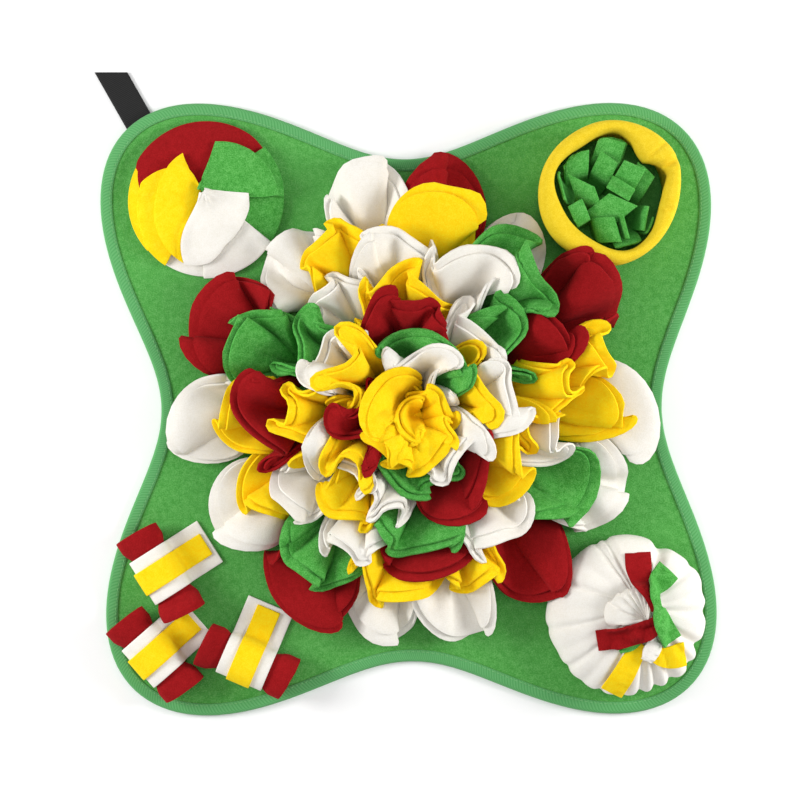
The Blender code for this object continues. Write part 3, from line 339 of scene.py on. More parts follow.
PLEATS_AT_NECK = 0.6  # their depth near the neck, as a share of what it is elsewhere
PLEATS_SINK = (0.55, 20.0, 34.0)  # share of their depth that they sink, growing between two levels
FRILL = (
    # the pouch's mouth, fanned out beside the knot: bearing from the knot, reach
    (190, 28.0), (172, 33.0), (155, 32.0), (138, 30.0), (120, 28.0), (104, 25.0), (90, 16.0),
    (78, 10.0),
)
FRILL_KNOT = (189.0, -167.0)
FRILL_START = 0.12  # it starts at this share of its reach
FRILL_ROWS = 14
FRILL_COLUMNS = 97
FRILL_RUFFLES = 8.0
FRILL_DEPTH = 3.4
FRILL_DEPTH_START = 0.35  # share of that depth at the knot
FRILL_SWAY = 0.07  # how far the ruffles lean sideways, in radians
FRILL_LEVEL = 41.0
FRILL_ARCH = 7.0
TIE_STEPS = 41
TIE_COLUMNS = 9
TIES_UNDER_FRILL = (
    # name, the solid it stands for, colour, then (x, y, width) along it
    ("tie_yellow_fleece", "tie_yellow", "yellow",
     ((163.6, -228.0, 19.0), (171.5, -213.0, 18.0), (179.0, -198.0, 15.5), (186.5, -187.0, 11.0))),
    ("tie_yellow_loop", "", "yellow",
     ((190.0, -189.0, 7.0), (197.0, -195.5, 12.0), (207.0, -198.0, 17.5), (221.0, -195.5, 20.0))),
    ("tie_green_end", "", "green", ((189.0, -174.0, 8.0), (178.0, -186.5, 9.0), (167.5, -190.5, 7.0))),
    ("pouch_tail", "", "white",
     ((199.0, -176.0, 8.0), (196.0, -185.0, 12.0), (192.0, -193.0, 12.5), (189.0, -199.5, 8.0))),
)
TIES_OVER_FRILL = (
    ("tie_red_band", "", "red",
     ((197.0, -166.0, 9.0), (188.0, -173.5, 16.0), (170.0, -181.0, 16.5), (150.5, -184.5, 16.5))),
    ("tie_red_fleece", "tie_red", "red",
     ((183.2, -115.0, 20.5), (183.6, -127.0, 20.5), (184.6, -137.0, 14.0), (188.5, -147.0, 6.5),
      (193.0, -158.0, 5.0))),
    ("tie_green_fleece", "tie_green", "green",
     ((208.0, -128.5, 19.0), (200.0, -137.0, 18.5), (194.5, -146.0, 10.5), (194.8, -154.0, 6.0),
      (197.5, -161.0, 13.0), (202.0, -171.0, 16.5), (210.0, -184.5, 16.5))),
)


def linear(channel):
    """One sRGB channel, 0 to 1, as linear light."""
    return channel / 12.92 if channel <= 0.04045 else ((channel + 0.055) / 1.055) ** 2.4


def light_of(code):
    """An sRGB hex colour as linear light with full alpha."""
    return (*[linear(int(code[i:i + 2], 16) / 255) for i in (0, 2, 4)], 1.0)


def add_node(tree, kind, sockets=None, **settings):
    """A node with some settings, and sockets given as numbers or as what feeds them."""
    node = tree.nodes.new(kind)
    for name, value in settings.items():
        setattr(node, name, value)
    for name, value in (sockets or {}).items():
        if isinstance(value, bpy.types.NodeSocket):
            tree.links.new(value, node.inputs[name])
        else:
            node.inputs[name].default_value = value
    return node


def colour_and_bump(tree, shader, factor, stops, height, strength):
    """A factor as sRGB hex colours at its stops, and as a bump this high in mm."""
    ramp = add_node(tree, "ShaderNodeValToRGB", {"Fac": factor})
    marks = ramp.color_ramp.elements
    while len(marks) < len(stops):
        marks.new(0.5)
    for mark, (place, code) in zip(marks, stops):
        mark.position = place
        mark.color = light_of(code)
    tree.links.new(ramp.outputs["Color"], shader.inputs["Base Color"])
    bump = add_node(tree, "ShaderNodeBump", {
        "Height": factor, "Distance": height * MM, "Strength": strength})
    tree.links.new(bump.outputs["Normal"], shader.inputs["Normal"])


def new_finish(name, roughness, sheen=0.0):
    finish = bpy.data.materials.new(name)
    finish.use_nodes = True
    shader = finish.node_tree.nodes["Principled BSDF"]
    shader.inputs["Roughness"].default_value = roughness
    shader.inputs["Specular IOR Level"].default_value = 0.2
    shader.inputs["Sheen Weight"].default_value = sheen
    return finish, finish.node_tree, shader


def fleece(name, deep, usual, raised, tuft, nap, sheen):
    """Anti-pill polyester fleece: a knitted cloth brushed to a dense nap and then tumbled.

    The nap stands in small tufts, so the colour is a little uneven and its surface pebbled, it
    has no shine, and its raised fibre ends catch light along every edge and fold.
    deep, usual and raised are the colours between, on and at the tips of tufts: over an uneven tone,
    they paint shade between tufts and light on their tips; tuft is the size of one and nap how far it
    stands up, both in mm.
    """
    finish, tree, shader = new_finish(name, 1.0, sheen)
    place = add_node(tree, "ShaderNodeTexCoord").outputs["Object"]
    tufts = add_node(tree, "ShaderNodeTexNoise", {
        "Vector": place, "Scale": 1 / (tuft * MM), "Detail": 3.0, "Roughness": 0.62})
    clumps = add_node(tree, "ShaderNodeTexNoise", {
        "Vector": place, "Scale": 1 / (5.0 * tuft * MM), "Detail": 2.0, "Roughness": 0.5})
    both = add_node(tree, "ShaderNodeMath", {0: clumps.outputs["Fac"], 1: 0.35, 2: tufts.outputs["Fac"]},
                    operation="MULTIPLY_ADD")
    # darker between tufts is painted shade and lighter at their tips is painted light, over an uneven
    # tone
    stops = ((0.54, deep), (0.67, usual), (0.82, raised))
    colour_and_bump(tree, shader, both.outputs["Value"], stops, nap, 1.0)
    shader.inputs["Sheen Roughness"].default_value = 0.55
    shader.inputs["Sheen Tint"].default_value = light_of(raised)
    return finish


def ribbed(name, groove, ridge, rib, roughness, sheen, height, ridge_from, direction, wave):
    """A woven cloth with ribs, its grooves painted darker than its ridges as painted shade: spacing and
    height in mm, direction of the wave, its own sockets.
    """
    finish, tree, shader = new_finish(name, roughness, sheen)
    along = add_node(tree, "ShaderNodeTexCoord").outputs["UV"]
    slant = math.sqrt(2.0) if direction == "DIAGONAL" else 1.0
    ribs = add_node(tree, "ShaderNodeTexWave", {
        "Vector": along, "Scale": math.pi * slant / (10.0 * rib * MM), **wave},
        wave_type="BANDS", bands_direction=direction, wave_profile="SIN")
    stops = ((0.0, groove), (ridge_from, ridge))
    colour_and_bump(tree, shader, ribs.outputs["Fac"], stops, height, 0.8)
    return finish


def twill(name, groove, ridge, rib):
    """Cotton twill tape: each weft thread passes over two warps and steps one across.

    That leaves fine diagonal ribs; the grooves between them are painted dark, as painted shade.
    rib is their spacing in mm, drawn coarser than real ones, which would be too fine to see.
    """
    return ribbed(name, groove, ridge, rib, 0.85, 0.15, 0.1, 0.7, "DIAGONAL",
                  {"Distortion": 0.4, "Detail": 1.0})


def webbing(name, groove, ridge, rib):
    """Woven polypropylene webbing: stiff, slightly shiny ribs straight across the strap, with painted
    shade in the grooves between them.
    """
    return ribbed(name, groove, ridge, rib, 0.55, 0.0, 0.2, 1.0, "X", {"Distortion": 0.3})


def plain(name, colour, roughness):
    """One colour all over, with no shine."""
    finish, _, shader = new_finish(name, roughness)
    shader.inputs["Base Color"].default_value = light_of(colour)
    return finish


FLEECES = (
    # slot, then what fleece() takes
    # deep colours are painted shade between tufts, raised ones painted light at their tips
    ("mat_fleece", "46963f", "54a34c", "67b25d", 1.0, 0.4, 0.10),
    ("fleece_green", "3c9035", "4fa546", "69ba5e", 0.9, 0.3, 0.15),
    ("fleece_red", "8c0b0f", "950f14", "a01419", 0.9, 0.22, 0.03),
    ("fleece_yellow", "ffd003", "ffd90e", "ffe024", 0.9, 0.2, 0.03),
    # the cup's own finish: the same yellow fleece in darker colours, as painted shade, with the same nap
    ("fleece_yellow_painted_shade", "e6c41f", "ebca28", "f2d436", 0.9, 0.2, 0.03),
    ("fleece_white", "ece8de", "f0ece4", "f3f0e9", 0.9, 0.2, 0.05),
)
FINISHES = {row[0]: fleece(*row) for row in FLEECES}
# the groove colours of the tape and the webbing are painted shade
FINISHES["twill_tape"] = twill("twill_tape", "4f9a57", "62ab68", 1.6)
FINISHES["webbing"] = webbing("webbing", "161616", "2b2b2b", 1.4)
THREAD = plain("thread", "7cbb7c", 0.6)


def add_mesh(name, points, faces, slot, spots=None, finish=None):
    """A new piece from points in millimetres, smooth, with the finish of its slot or its own.

    spots are (u, v) in millimetres for each corner of each face, where a pattern follows it.
    """
    mesh = bpy.data.meshes.new(name)
    mesh.from_pydata([tuple(point) for point in np.asarray(points) * MM], [], faces)
    mesh.materials.append(finish or FINISHES[slot])
    if spots is not None:
        layer = mesh.uv_layers.new(name="along")
        layer.data.foreach_set("uv", (np.asarray(spots) * MM).ravel())
    mesh.polygons.foreach_set("use_smooth", [True] * len(mesh.polygons))
    mesh.update()
    piece = bpy.data.objects.new(name, mesh)
    bpy.context.scene.collection.objects.link(piece)
    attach(piece, "root")
    return piece


def grid_faces(rows, columns, wrap=False):
    """Quads of a grid of points; wrap joins the last column to the first."""
    faces = []
    for row in range(rows - 1):
        for column in range(columns if wrap else columns - 1):
            right = (column + 1) % columns
            faces.append((row * columns + column, row * columns + right,
                          (row + 1) * columns + right, (row + 1) * columns + column))
    return faces


def cloth_area(grid):
    """Area of a grid of points in mm, in square metres."""
    near, right, up, far = grid[:-1, :-1], grid[:-1, 1:], grid[1:, :-1], grid[1:, 1:]
    halves = np.linalg.norm(np.cross(right - near, far - near), axis=-1)
    halves += np.linalg.norm(np.cross(far - near, up - near), axis=-1)
    return float(halves.sum() / 2) * MM ** 2


def line_length(line):
    """Length in mm of a line of points."""
    return float(np.linalg.norm(np.diff(line, axis=0), axis=1).sum())


EDGE_ROUNDING = 0.6  # of a soft cut edge of fleece
WEBBING_ROUNDING = 0.4


def thicken(piece, thickness, rounding):
    """Make a sheet solid by half its thickness both ways, with a rounded edge."""
    solidify = piece.modifiers.new("Thickness", "SOLIDIFY")
    solidify.thickness = thickness * MM
    solidify.offset = 0.0
    bevel = piece.modifiers.new("Soft edge", "BEVEL")
    bevel.width = rounding * MM
    bevel.segments = 2
    bevel.limit_method = "ANGLE"
    bevel.angle_limit = math.radians(60.0)
    bevel.use_clamp_overlap = True


def add_sheet(name, grid, thickness, slot, flat=None):
    """A cloth piece: an open grid of points on its middle surface, thickened both ways.

    flat, the cut in mm where that is a rectangle, is not used.
    """
    rows, columns, _ = grid.shape
    piece = add_mesh(name, grid.reshape(-1, 3), grid_faces(rows, columns), slot)
    thicken(piece, thickness, EDGE_ROUNDING)
    if flat is None:
        area = cloth_area(grid)
    return piece


def face_out(piece):
    """Turn the faces of a closed piece outwards."""
    shape = bmesh.new()
    shape.from_mesh(piece.data)
    bmesh.ops.recalc_face_normals(shape, faces=shape.faces)
    shape.to_mesh(piece.data)
    shape.free()


def add_tube(name, grid, slot, sizes=None, finish=None):
    """A closed ring of sections: rows of the grid go round the section, columns round the piece.

    sizes are the lengths round the piece and round the section, for a pattern that follows it.
    """
    rows, columns, _ = grid.shape
    faces = []
    spots = []
    for row in range(rows):
        for column in range(columns):
            below, right = (row + 1) % rows, (column + 1) % columns
            faces.append((row * columns + column, row * columns + right,
                          below * columns + right, below * columns + column))
            if sizes is not None:
                for across, along in ((row, column), (row, column + 1), (row + 1, column + 1),
                                      (row + 1, column)):
                    spots.append((along * sizes[0] / columns, across * sizes[1] / rows))
    piece = add_mesh(name, grid.reshape(-1, 3), faces, slot, spots or None, finish)
    face_out(piece)
    return piece


def add_dome(name, grid, slot):
    """A closed solid: rings of points, with a point in the middle of the first and last one."""
    rows, columns, _ = grid.shape
    points = np.vstack([grid.reshape(-1, 3), grid[0].mean(axis=0), grid[-1].mean(axis=0)])
    faces = grid_faces(rows, columns, wrap=True)
    first, last = rows * columns, rows * columns + 1
    for column in range(columns):
        right = (column + 1) % columns
        faces.append((column, first, right))
        faces.append(((rows - 1) * columns + right, last, (rows - 1) * columns + column))
    piece = add_mesh(name, points, faces, slot)
    face_out(piece)
    return piece


def ring_at(centre, radius, angle, level):
    """Points round a centre; radius and level are numbers or one value for each angle."""
    return np.column_stack([centre[0] + radius * np.cos(angle), centre[1] + radius * np.sin(angle),
                            np.zeros(len(angle)) + level])


def turns_of(steps):
    """Evenly spaced angles round a full turn."""
    return np.arange(steps) * 2 * math.pi / steps


def polar(radius, angle):
    return np.stack([radius * np.cos(angle), radius * np.sin(angle)], axis=-1)


def left_of(direction):
    """A plan direction turned a quarter to its left."""
    return np.stack([-direction[..., 1], direction[..., 0]], axis=-1)


def add_disc(name, node, slot, centre, radius, section, steps):
    """A flat round piece of fleece on the pad, from the (inset, level) pairs of its section."""
    rings = [ring_at(centre, radius - inset, turns_of(steps), ON_MAT + level)
             for inset, level in section]
    disc = add_dome(name, np.array(rings), slot)
    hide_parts(node)


STITCH_LENGTH = 2.8
STITCH_GAP = 1.2
STITCH_THICKNESS = 0.55
STITCH_SIDES = 6
STITCH_AHEAD = 0.5  # how far ahead its direction is taken
STITCH_SECTIONS = (
    # share of the length, share of the thickness, how far it dips in as a share of the thickness
    (0.0, 0.5, 0.8),
    (0.15, 1.0, 0.1),
    (0.5, 1.1, 0.0),
    (0.85, 1.0, 0.1),
    (1.0, 0.5, 0.8),
)


def add_stitches(name, line):
    """A row of stitches along a line of points: short threads that dip into the cloth at each end."""
    travelled = np.concatenate([[0.0], np.cumsum(np.linalg.norm(np.diff(line, axis=0), axis=1))])
    count = int(travelled[-1] / (STITCH_LENGTH + STITCH_GAP))
    upward = np.array([0.0, 0.0, 1.0])

    def at(place):
        return np.array([np.interp(place, travelled, line[:, axis]) for axis in range(3)])

    points = []
    faces = []
    rings = len(STITCH_SECTIONS)
    for index in range(count):
        start = index * travelled[-1] / count
        for share, size, sink in STITCH_SECTIONS:
            middle = at(start + share * STITCH_LENGTH)
            ahead = at(start + share * STITCH_LENGTH + STITCH_AHEAD)
            along = (ahead - middle) / max(np.linalg.norm(ahead - middle), 1e-6)
            sideways = np.cross(along, upward)
            for turn in turns_of(STITCH_SIDES):
                offset = sideways * math.cos(turn) + upward * math.sin(turn)
                points.append(middle + offset * STITCH_THICKNESS / 2 * size
                              - upward * sink * STITCH_THICKNESS)
        base = index * rings * STITCH_SIDES
        ends = range(base, base + STITCH_SIDES)
        for face in grid_faces(rings, STITCH_SIDES, wrap=True):
            faces.append(tuple(base + corner for corner in face))
        faces.append(tuple(reversed(ends)))
        faces.append(tuple(corner + (rings - 1) * STITCH_SIDES for corner in ends))
    piece = add_mesh(name, points, faces, "twill_tape", finish=THREAD)
    face_out(piece)
    return piece


def smoothstep(low, high, value):
    share = np.clip((value - low) / (high - low), 0.0, 1.0)
    return share * share * (3.0 - 2.0 * share)


def blend(start, end, share):
    """From start at share 0 to end at share 1."""
    return (1 - share) * start + share * end


TABLE_BLUR = (-10.0, -5.0, 0.0, 5.0, 10.0)  # degrees over which a table round a piece is evened


def round_table(bearings, table):
    """Smooth closed curve through a table of (bearing, value) rows, read at some bearings."""
    knots, values = np.array(table, dtype=float).T
    knots = np.concatenate([knots - 360.0, knots, knots + 360.0])
    values = np.concatenate([values, values, values])
    bearings = np.mod(bearings, 360.0)
    return np.mean([np.interp(bearings + shift, knots, values) for shift in TABLE_BLUR], axis=0)


def sum_of_bumps(bearings, bumps):
    """Smooth bumps round a closed curve, from (bearing, height, half width in degrees) rows."""
    total = np.zeros(len(bearings))
    for centre, height, spread in bumps:
        off = (bearings - centre + 180.0) % 360.0 - 180.0
        total = total + height * np.exp(-(off / spread) ** 2)
    return total


def through(points, count):
    """Evenly spaced samples of a smooth open curve through a few points."""
    points = np.asarray(points, dtype=float)
    padded = np.vstack([2 * points[0] - points[1], points, 2 * points[-1] - points[-2]])
    samples = []
    for step in np.linspace(0, len(points) - 1.0001, count):
        index = int(step)
        share = step - index
        before, start, end, after = padded[index:index + 4]
        samples.append(0.5 * (2 * start + (end - before) * share
                              + (2 * before - 5 * start + 4 * end - after) * share ** 2
                              + (3 * start - before - 3 * end + after) * share ** 3))
    return np.array(samples)


class Heap:
    """How high the pieces laid so far reach, on a square grid over the mat."""

    HALF = 330.0
    CELL = 2.0

    def __init__(self, level):
        cells = int(2 * self.HALF / self.CELL) + 1
        self.top = np.full((cells, cells), level)

    def cell_of(self, x, y):
        last = self.top.shape[0] - 1
        column = np.clip(np.rint((x + self.HALF) / self.CELL).astype(int), 0, last)
        row = np.clip(np.rint((y + self.HALF) / self.CELL).astype(int), 0, last)
        return row, column

    def raise_to(self, x, y, level):
        np.maximum.at(self.top, self.cell_of(x, y), level)

    def add(self, grid, thickness, splits=7):
        """Raise the heap under every part of a grid of points."""
        tops = grid.copy()
        tops[..., 2] += thickness / 2 / uprightness(grid)
        near, right, up, far = tops[:-1, :-1], tops[:-1, 1:], tops[1:, :-1], tops[1:, 1:]
        for across in np.linspace(0.0, 1.0, splits):
            for along in np.linspace(0.0, 1.0, splits):
                spot = ((near * (1 - across) + right * across) * (1 - along)
                        + (up * (1 - across) + far * across) * along)
                self.raise_to(spot[..., 0], spot[..., 1], spot[..., 2])

    def add_rings(self, rings):
        """Raise the heap under a solid made of closed rings."""
        self.add(np.concatenate([rings, rings[:, :1]], axis=1), 0.0)

    def under(self, x, y, reach):
        """The highest point of the heap within reach of each place."""
        steps = int(reach / self.CELL)
        row, column = self.cell_of(x, y)
        last = self.top.shape[0] - 1
        highest = np.full(np.shape(x), -np.inf)
        for down in range(-steps, steps + 1):
            for right in range(-steps, steps + 1):
                if math.hypot(down, right) <= steps + 0.5:
                    cells = (np.clip(row + down, 0, last), np.clip(column + right, 0, last))
                    highest = np.maximum(highest, self.top[cells])
        return highest


STEEPEST = 0.4  # a steeper sheet is taken as if its normal rose this much
DRAPE_MARGIN = 0.5  # over the seat gap, because coarse faces cut their own corners
DRAPE_ROUNDS = 60
DRAPE_SPREAD = 0.985
SOFTEN_SINK = 0.7  # a softened sheet may press into the heap by this share of its thickness
FINE_REACH = 2.1  # for the flaps and ties
FLAP_MARGIN = 0.05
TIE_MARGIN = 0.1


def normals(grid):
    """Unit normals of a grid of points, on the side that faces up at most places."""
    normal = np.cross(np.gradient(grid, axis=1), np.gradient(grid, axis=0))
    normal /= np.maximum(np.linalg.norm(normal, axis=-1, keepdims=True), 1e-9)
    return normal * (1.0 if normal[..., 2].sum() > 0 else -1.0)


def uprightness(grid):
    """How much the normals of a grid point up, from a steepest sheet to 1 for a level one."""
    return np.clip(np.abs(normals(grid)[..., 2]), STEEPEST, 1.0)


def neighbours(values):
    """The mean of the four values beside each one of a grid."""
    padded = np.pad(values, 1, mode="edge")
    return (padded[:-2, 1:-1] + padded[2:, 1:-1] + padded[1:-1, :-2] + padded[1:-1, 2:]) / 4


def drape(grid, heap, thickness, held_rows=1, reach=0.0, margin=DRAPE_MARGIN, soften=0):
    """Lift a sheet where it would cut the heap, as cloth that lies over what is below it.

    soften is how many times the lift is then evened out, as thick fleece bridges small steps.
    """
    clearance = (thickness / 2 + SEAT_GAP + margin) / uprightness(grid)
    need = heap.under(grid[..., 0], grid[..., 1], reach) + clearance - grid[..., 2]
    need[:held_rows] = 0.0
    lift = np.maximum(need, 0.0)
    for _ in range(DRAPE_ROUNDS):
        lift = np.maximum(need, neighbours(lift) * DRAPE_SPREAD)
        lift[:held_rows] = 0.0
    for _ in range(soften):
        lift = np.maximum((lift + neighbours(lift)) / 2, need - SOFTEN_SINK * thickness)
        lift[:held_rows] = 0.0
    draped = grid.copy()
    draped[..., 2] += lift
    heap.add(draped, thickness)
    return draped


def drape_finely(grid, heap, margin):
    """Lay a free piece of fleece closely over what is below it."""
    return drape(grid, heap, FLEECE, held_rows=0, reach=FINE_REACH, margin=margin)


def mat_edge(bearings, inset):
    """Points at a distance inside the mat's outline."""
    def outline(angles):
        reach = np.full(angles.shape, OUTLINE_MEAN)
        for waves, cosine, sine in OUTLINE_WAVES:
            reach = reach + cosine * np.cos(waves * angles) + sine * np.sin(waves * angles)
        return polar(reach, angles)

    angles = np.radians(bearings)
    step = 0.001
    along = outline(angles + step) - outline(angles - step)
    along /= np.linalg.norm(along, axis=-1, keepdims=True)
    return outline(angles) + left_of(along) * inset


STRAP_EXIT = np.array([-218.6, 232.3])  # where its middle line meets the mat's edge
STRAP_BEARING = 119.6
STRAP_END_Y = 275.9  # the cut end runs along X
STRAP_TUCK = 7.0  # length under the mat
STRAP_ROWS = 25
STRAP_COLUMNS = 9
STRAP_LIFT = STRAP_THICKNESS + SEAT_GAP
LIFT_FLAT = 24.0  # the mat's edge is fully raised this far to each side
LIFT_END = 80.0  # and lies on the floor again from here
LIFT_INSET = 18.0  # further in than this it isn't raised
LIFT_INSET_START = STRAP_TUCK + 4.0


def strap_lift(points, inset):
    """How far the edge of the mat is raised by the strap sewn under it."""
    angle = math.radians(STRAP_BEARING)
    across = np.array([-math.sin(angle), math.cos(angle)])
    off_line = points - STRAP_EXIT
    sideways = np.abs(off_line @ across)
    near = np.linalg.norm(off_line, axis=-1) < 2 * LIFT_END
    share = 1.0 - smoothstep(LIFT_FLAT, LIFT_END, sideways)
    inner = 1.0 - smoothstep(LIFT_INSET_START, LIFT_INSET, inset)
    return STRAP_LIFT * share * inner * near


def edge_rings(section, bearings):
    """Rings round the mat from (inset, height) pairs, raised over the strap."""
    rings = []
    for inset, height in section:
        ring = mat_edge(bearings, inset)
        rings.append(np.column_stack([ring, height + strap_lift(ring, inset)]))
    return np.array(rings)


PAD_ROUNDING = 0.8
PAD_CLEAR = 0.1  # between its edge and the tape, over the seat gap
PAD_UNDER_CORNER = (0.6, 0.4)  # past the tape's edge and up, where the underside turns in
PAD_SHRINKS = (0.975, 0.03, 48)  # shares of the edge's reach for the rings of its top, and how many
PAD_SOFTNESS = 0.5  # how far the pad's top sinks between its high places
PAD_SOFT_FROM = 15.0  # how far past the tape it is that soft
PAD_WAVES = (
    # waves a metre along x and along y, start, share of the softness
    (7.0, 4.0, 0.3, 0.30),
    (-5.0, 9.0, 1.9, 0.25),
    (13.0, -8.0, 4.0, 0.20),
    (3.0, 17.0, 5.1, 0.15),
    (19.0, 11.0, 2.6, 0.10),
)
TAPE_SEAM = 6.0  # where the tape's flat legs start, in from the edge
TAPE_ROUNDING = 0.3
TAPE_TURNS = 9
TAPE_PUCKERS = ((0.12, 97, 0.0), (0.10, 61, 1.0))  # height, how many round the mat, start
STITCH_INSET = 1.6  # of the stitches, from the sewn edge of the tape


def pad_sink(points, inset):
    """How far the soft top of the pad lies under its highest level."""
    waves = np.zeros(points.shape[:-1])
    for across, along, start, share in PAD_WAVES:
        turn = 2 * math.pi * (points[..., 0] * across + points[..., 1] * along) * MM + start
        waves = waves + share * (1 + np.sin(turn)) / 2
    return PAD_SOFTNESS * waves * smoothstep(BINDING_WIDTH, BINDING_WIDTH + PAD_SOFT_FROM, inset)


def build_pad(bearings):
    """The pad: its edge is thin and squared where the tape is folded over it."""
    width, corner = BINDING_WIDTH, PAD_ROUNDING
    low = BINDING_TAPE + SEAT_GAP
    edge = low + PAD_CLEAR
    section = [(LIFT_INSET + 12.0, 0.0), (LIFT_INSET, 0.0), (width + 2.0, 0.0),
               (width + PAD_UNDER_CORNER[0], PAD_UNDER_CORNER[1]), (width, low), (low + corner, low),
               (edge, low + corner), (edge, MAT_TOP - corner), (low + corner, MAT_TOP)]
    for inset in (width * 0.7, width, width + 1.5, width + 4.0, LIFT_INSET, LIFT_INSET + 5.0):
        section.append((inset, MAT_TOP))
    rings = edge_rings(section, bearings)
    inner = [rings[-1] * np.array([share, share, 1.0]) for share in np.linspace(*PAD_SHRINKS)]
    rings = np.concatenate([rings, np.array(inner)])
    inset = np.concatenate([[inset for inset, _ in section], np.full(len(inner), 60.0)])[:, None]
    on_top = rings[..., 2] > MAT_TOP - 0.1
    rings[..., 2] -= np.where(on_top, pad_sink(rings, inset), 0.0)
    under = rings[0] * np.array([0.5, 0.5, 1.0])
    pad = add_dome("pad", np.concatenate([under[None], rings]), "mat_fleece")
    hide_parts("mat_base")


def build_tape(bearings):
    """The folded edge tape, sewn down with a row of stitches on each side."""
    top = MAT_TOP + SEAT_GAP
    width, seam, corner = BINDING_WIDTH, TAPE_SEAM, TAPE_ROUNDING
    nose = (top + BINDING_TAPE) / 2
    within = nose - BINDING_TAPE
    turns = np.radians(np.linspace(0.0, 180.0, TAPE_TURNS))
    outside = [(nose - nose * math.sin(turn), nose - nose * math.cos(turn)) for turn in turns]
    inside = [(nose - within * math.sin(turn), nose + within * math.cos(turn)) for turn in turns]
    section = [(width - corner, 0.0), (seam, 0.0), *outside, (seam, 2 * nose),
               (width - corner, 2 * nose), (width, 2 * nose - corner), (width, top), (seam, top),
               *inside, (seam, BINDING_TAPE), (width, BINDING_TAPE), (width, corner)]
    rings = edge_rings(section, bearings)
    # The sewn edge of the tape puckers a little between stitches
    leg = np.array([1.0 if inset > 5.0 and height > nose else 0.0 for inset, height in section])
    pucker = sum(height * np.sin(waves * turns_of(EDGE_STEPS) + start)
                 for height, waves, start in TAPE_PUCKERS)
    rings[..., 2] += leg[:, None] * pucker[None, :]
    round_edge = line_length(np.vstack([rings[0], rings[0][:1]]))
    tape = add_tube("edge_tape", rings, "twill_tape", (round_edge, 4 * width))
    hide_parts("binding")
    for name, level in (("stitches_above", 2 * nose + 0.1), ("stitches_below", 0.25)):
        ring = edge_rings([(width - STITCH_INSET, level)], bearings)[0]
        add_stitches(name, np.vstack([ring, ring[:1]]))


def build_strap():
    """A webbing strap sewn under the edge, with its end cut straight across."""
    angle = math.radians(STRAP_BEARING)
    along = np.array([math.cos(angle), math.sin(angle)])
    side = np.linspace(1.0, -1.0, STRAP_COLUMNS)[None, :, None]
    root = STRAP_EXIT - along * STRAP_TUCK + left_of(along) * STRAP_WIDTH / 2 * side
    tip = root + along * (STRAP_END_Y - root[..., 1:]) / along[1]
    plan = blend(root, tip, np.linspace(0.0, 1.0, STRAP_ROWS)[:, None, None])
    grid = np.concatenate([plan, np.full_like(plan[..., :1], STRAP_THICKNESS / 2)], axis=-1)
    faces = grid_faces(STRAP_ROWS, STRAP_COLUMNS)
    corners = (plan - plan[0, 0]).reshape(-1, 2)[np.array(faces).ravel()]
    spots = np.stack([corners @ along, corners @ left_of(along)], axis=-1)
    strap = add_mesh("webbing_strap", grid.reshape(-1, 3), faces, "webbing", spots)
    thicken(strap, STRAP_THICKNESS, WEBBING_ROUNDING)
    area = cloth_area(grid)
    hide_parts("strap")


# A bare number on a side or a seed inside np.sin says how often that wave comes across a petal;
# they are uneven, so that no two petals match
RIM_SPREAD = math.radians(122.0)  # how far round its ellipse a petal's rim goes each way
RIM_HALF_LENGTH = 0.56  # half length of that ellipse, as a share of the petal
RIM_UNEVEN = 0.03
ROOT_FOLLOWS = 0.55  # how far the root moves when the rim is off its usual radius
STATIONS = 41  # steps of the profile from root to rim
PROFILE_OVERRUN = 1.1  # a rim may run on past its profile up to this share
RUFFLE_UNEVEN = 0.14
RUFFLE_SWELL = 0.40
RUFFLE_BEND = 0.6
RUFFLE_CREASE = 0.35
RUFFLE_GROWS = 1.6  # how soon a ruffle reaches its full depth: 1 is evenly to the rim
CALM_ENDS = 0.8  # how much flatter a petal is at the two ends of its rim
LEAN_OVER = 0.45  # how far crests bulge sideways over the valleys
LEAN_GROWS = 1.2  # how soon they do
WIDE_CRESTS = 0.3  # makes crests wider than valleys
LEAN_ONE_WAY = 1.1  # how far crests tip to one side
CURL = (25.0, 4.0)  # how far the sides turn, in degrees, and more for each mm of cup
CURL_RISE = 0.6
CURL_MIDDLE = 0.25  # how far the middle is below the level where the curl is even
GATHER_HEIGHT = 7.0  # of the soft ridges that run out from a petal's gathered root
GATHER_REACH = 150.0  # the petals nearer the middle are smaller, and so are their ridges
GATHERS = 2.1  # how many for each ruffle
GATHER_NARROW = 1.5  # makes ridges narrower than the hollows between them
GATHER_UNEVEN = (0.65, 0.35)  # least height as a share, and how much more some have
GATHER_ROOT = 0.45  # they reach their full height at this share of the way out
GATHER_FADES = 0.6  # and lose this share of it at the rim
CROWN = 68.0  # above this level the flower sags under its own weight,
CROWN_SHARE = 0.6  # and keeps this share of its height
SOFTEN = 8  # how often a petal's lift is evened out


def shares(rows, columns):
    """From -1 to 1 across a petal's grid, and from 0 at its root to 1 at its rim."""
    return np.linspace(-1.0, 1.0, columns)[None, :], np.linspace(0.0, 1.0, rows)[:, None]


def ruffle_wave(row, side):
    """How far a petal's rim is through its waves, at each place from side to side."""
    bearing, folds, start = math.radians(row[2]), row[5], math.radians(row[7])
    uneven = side + RUFFLE_UNEVEN * np.sin(2.9 * side + 3.0 * (start + bearing))
    return math.pi * folds * uneven + start


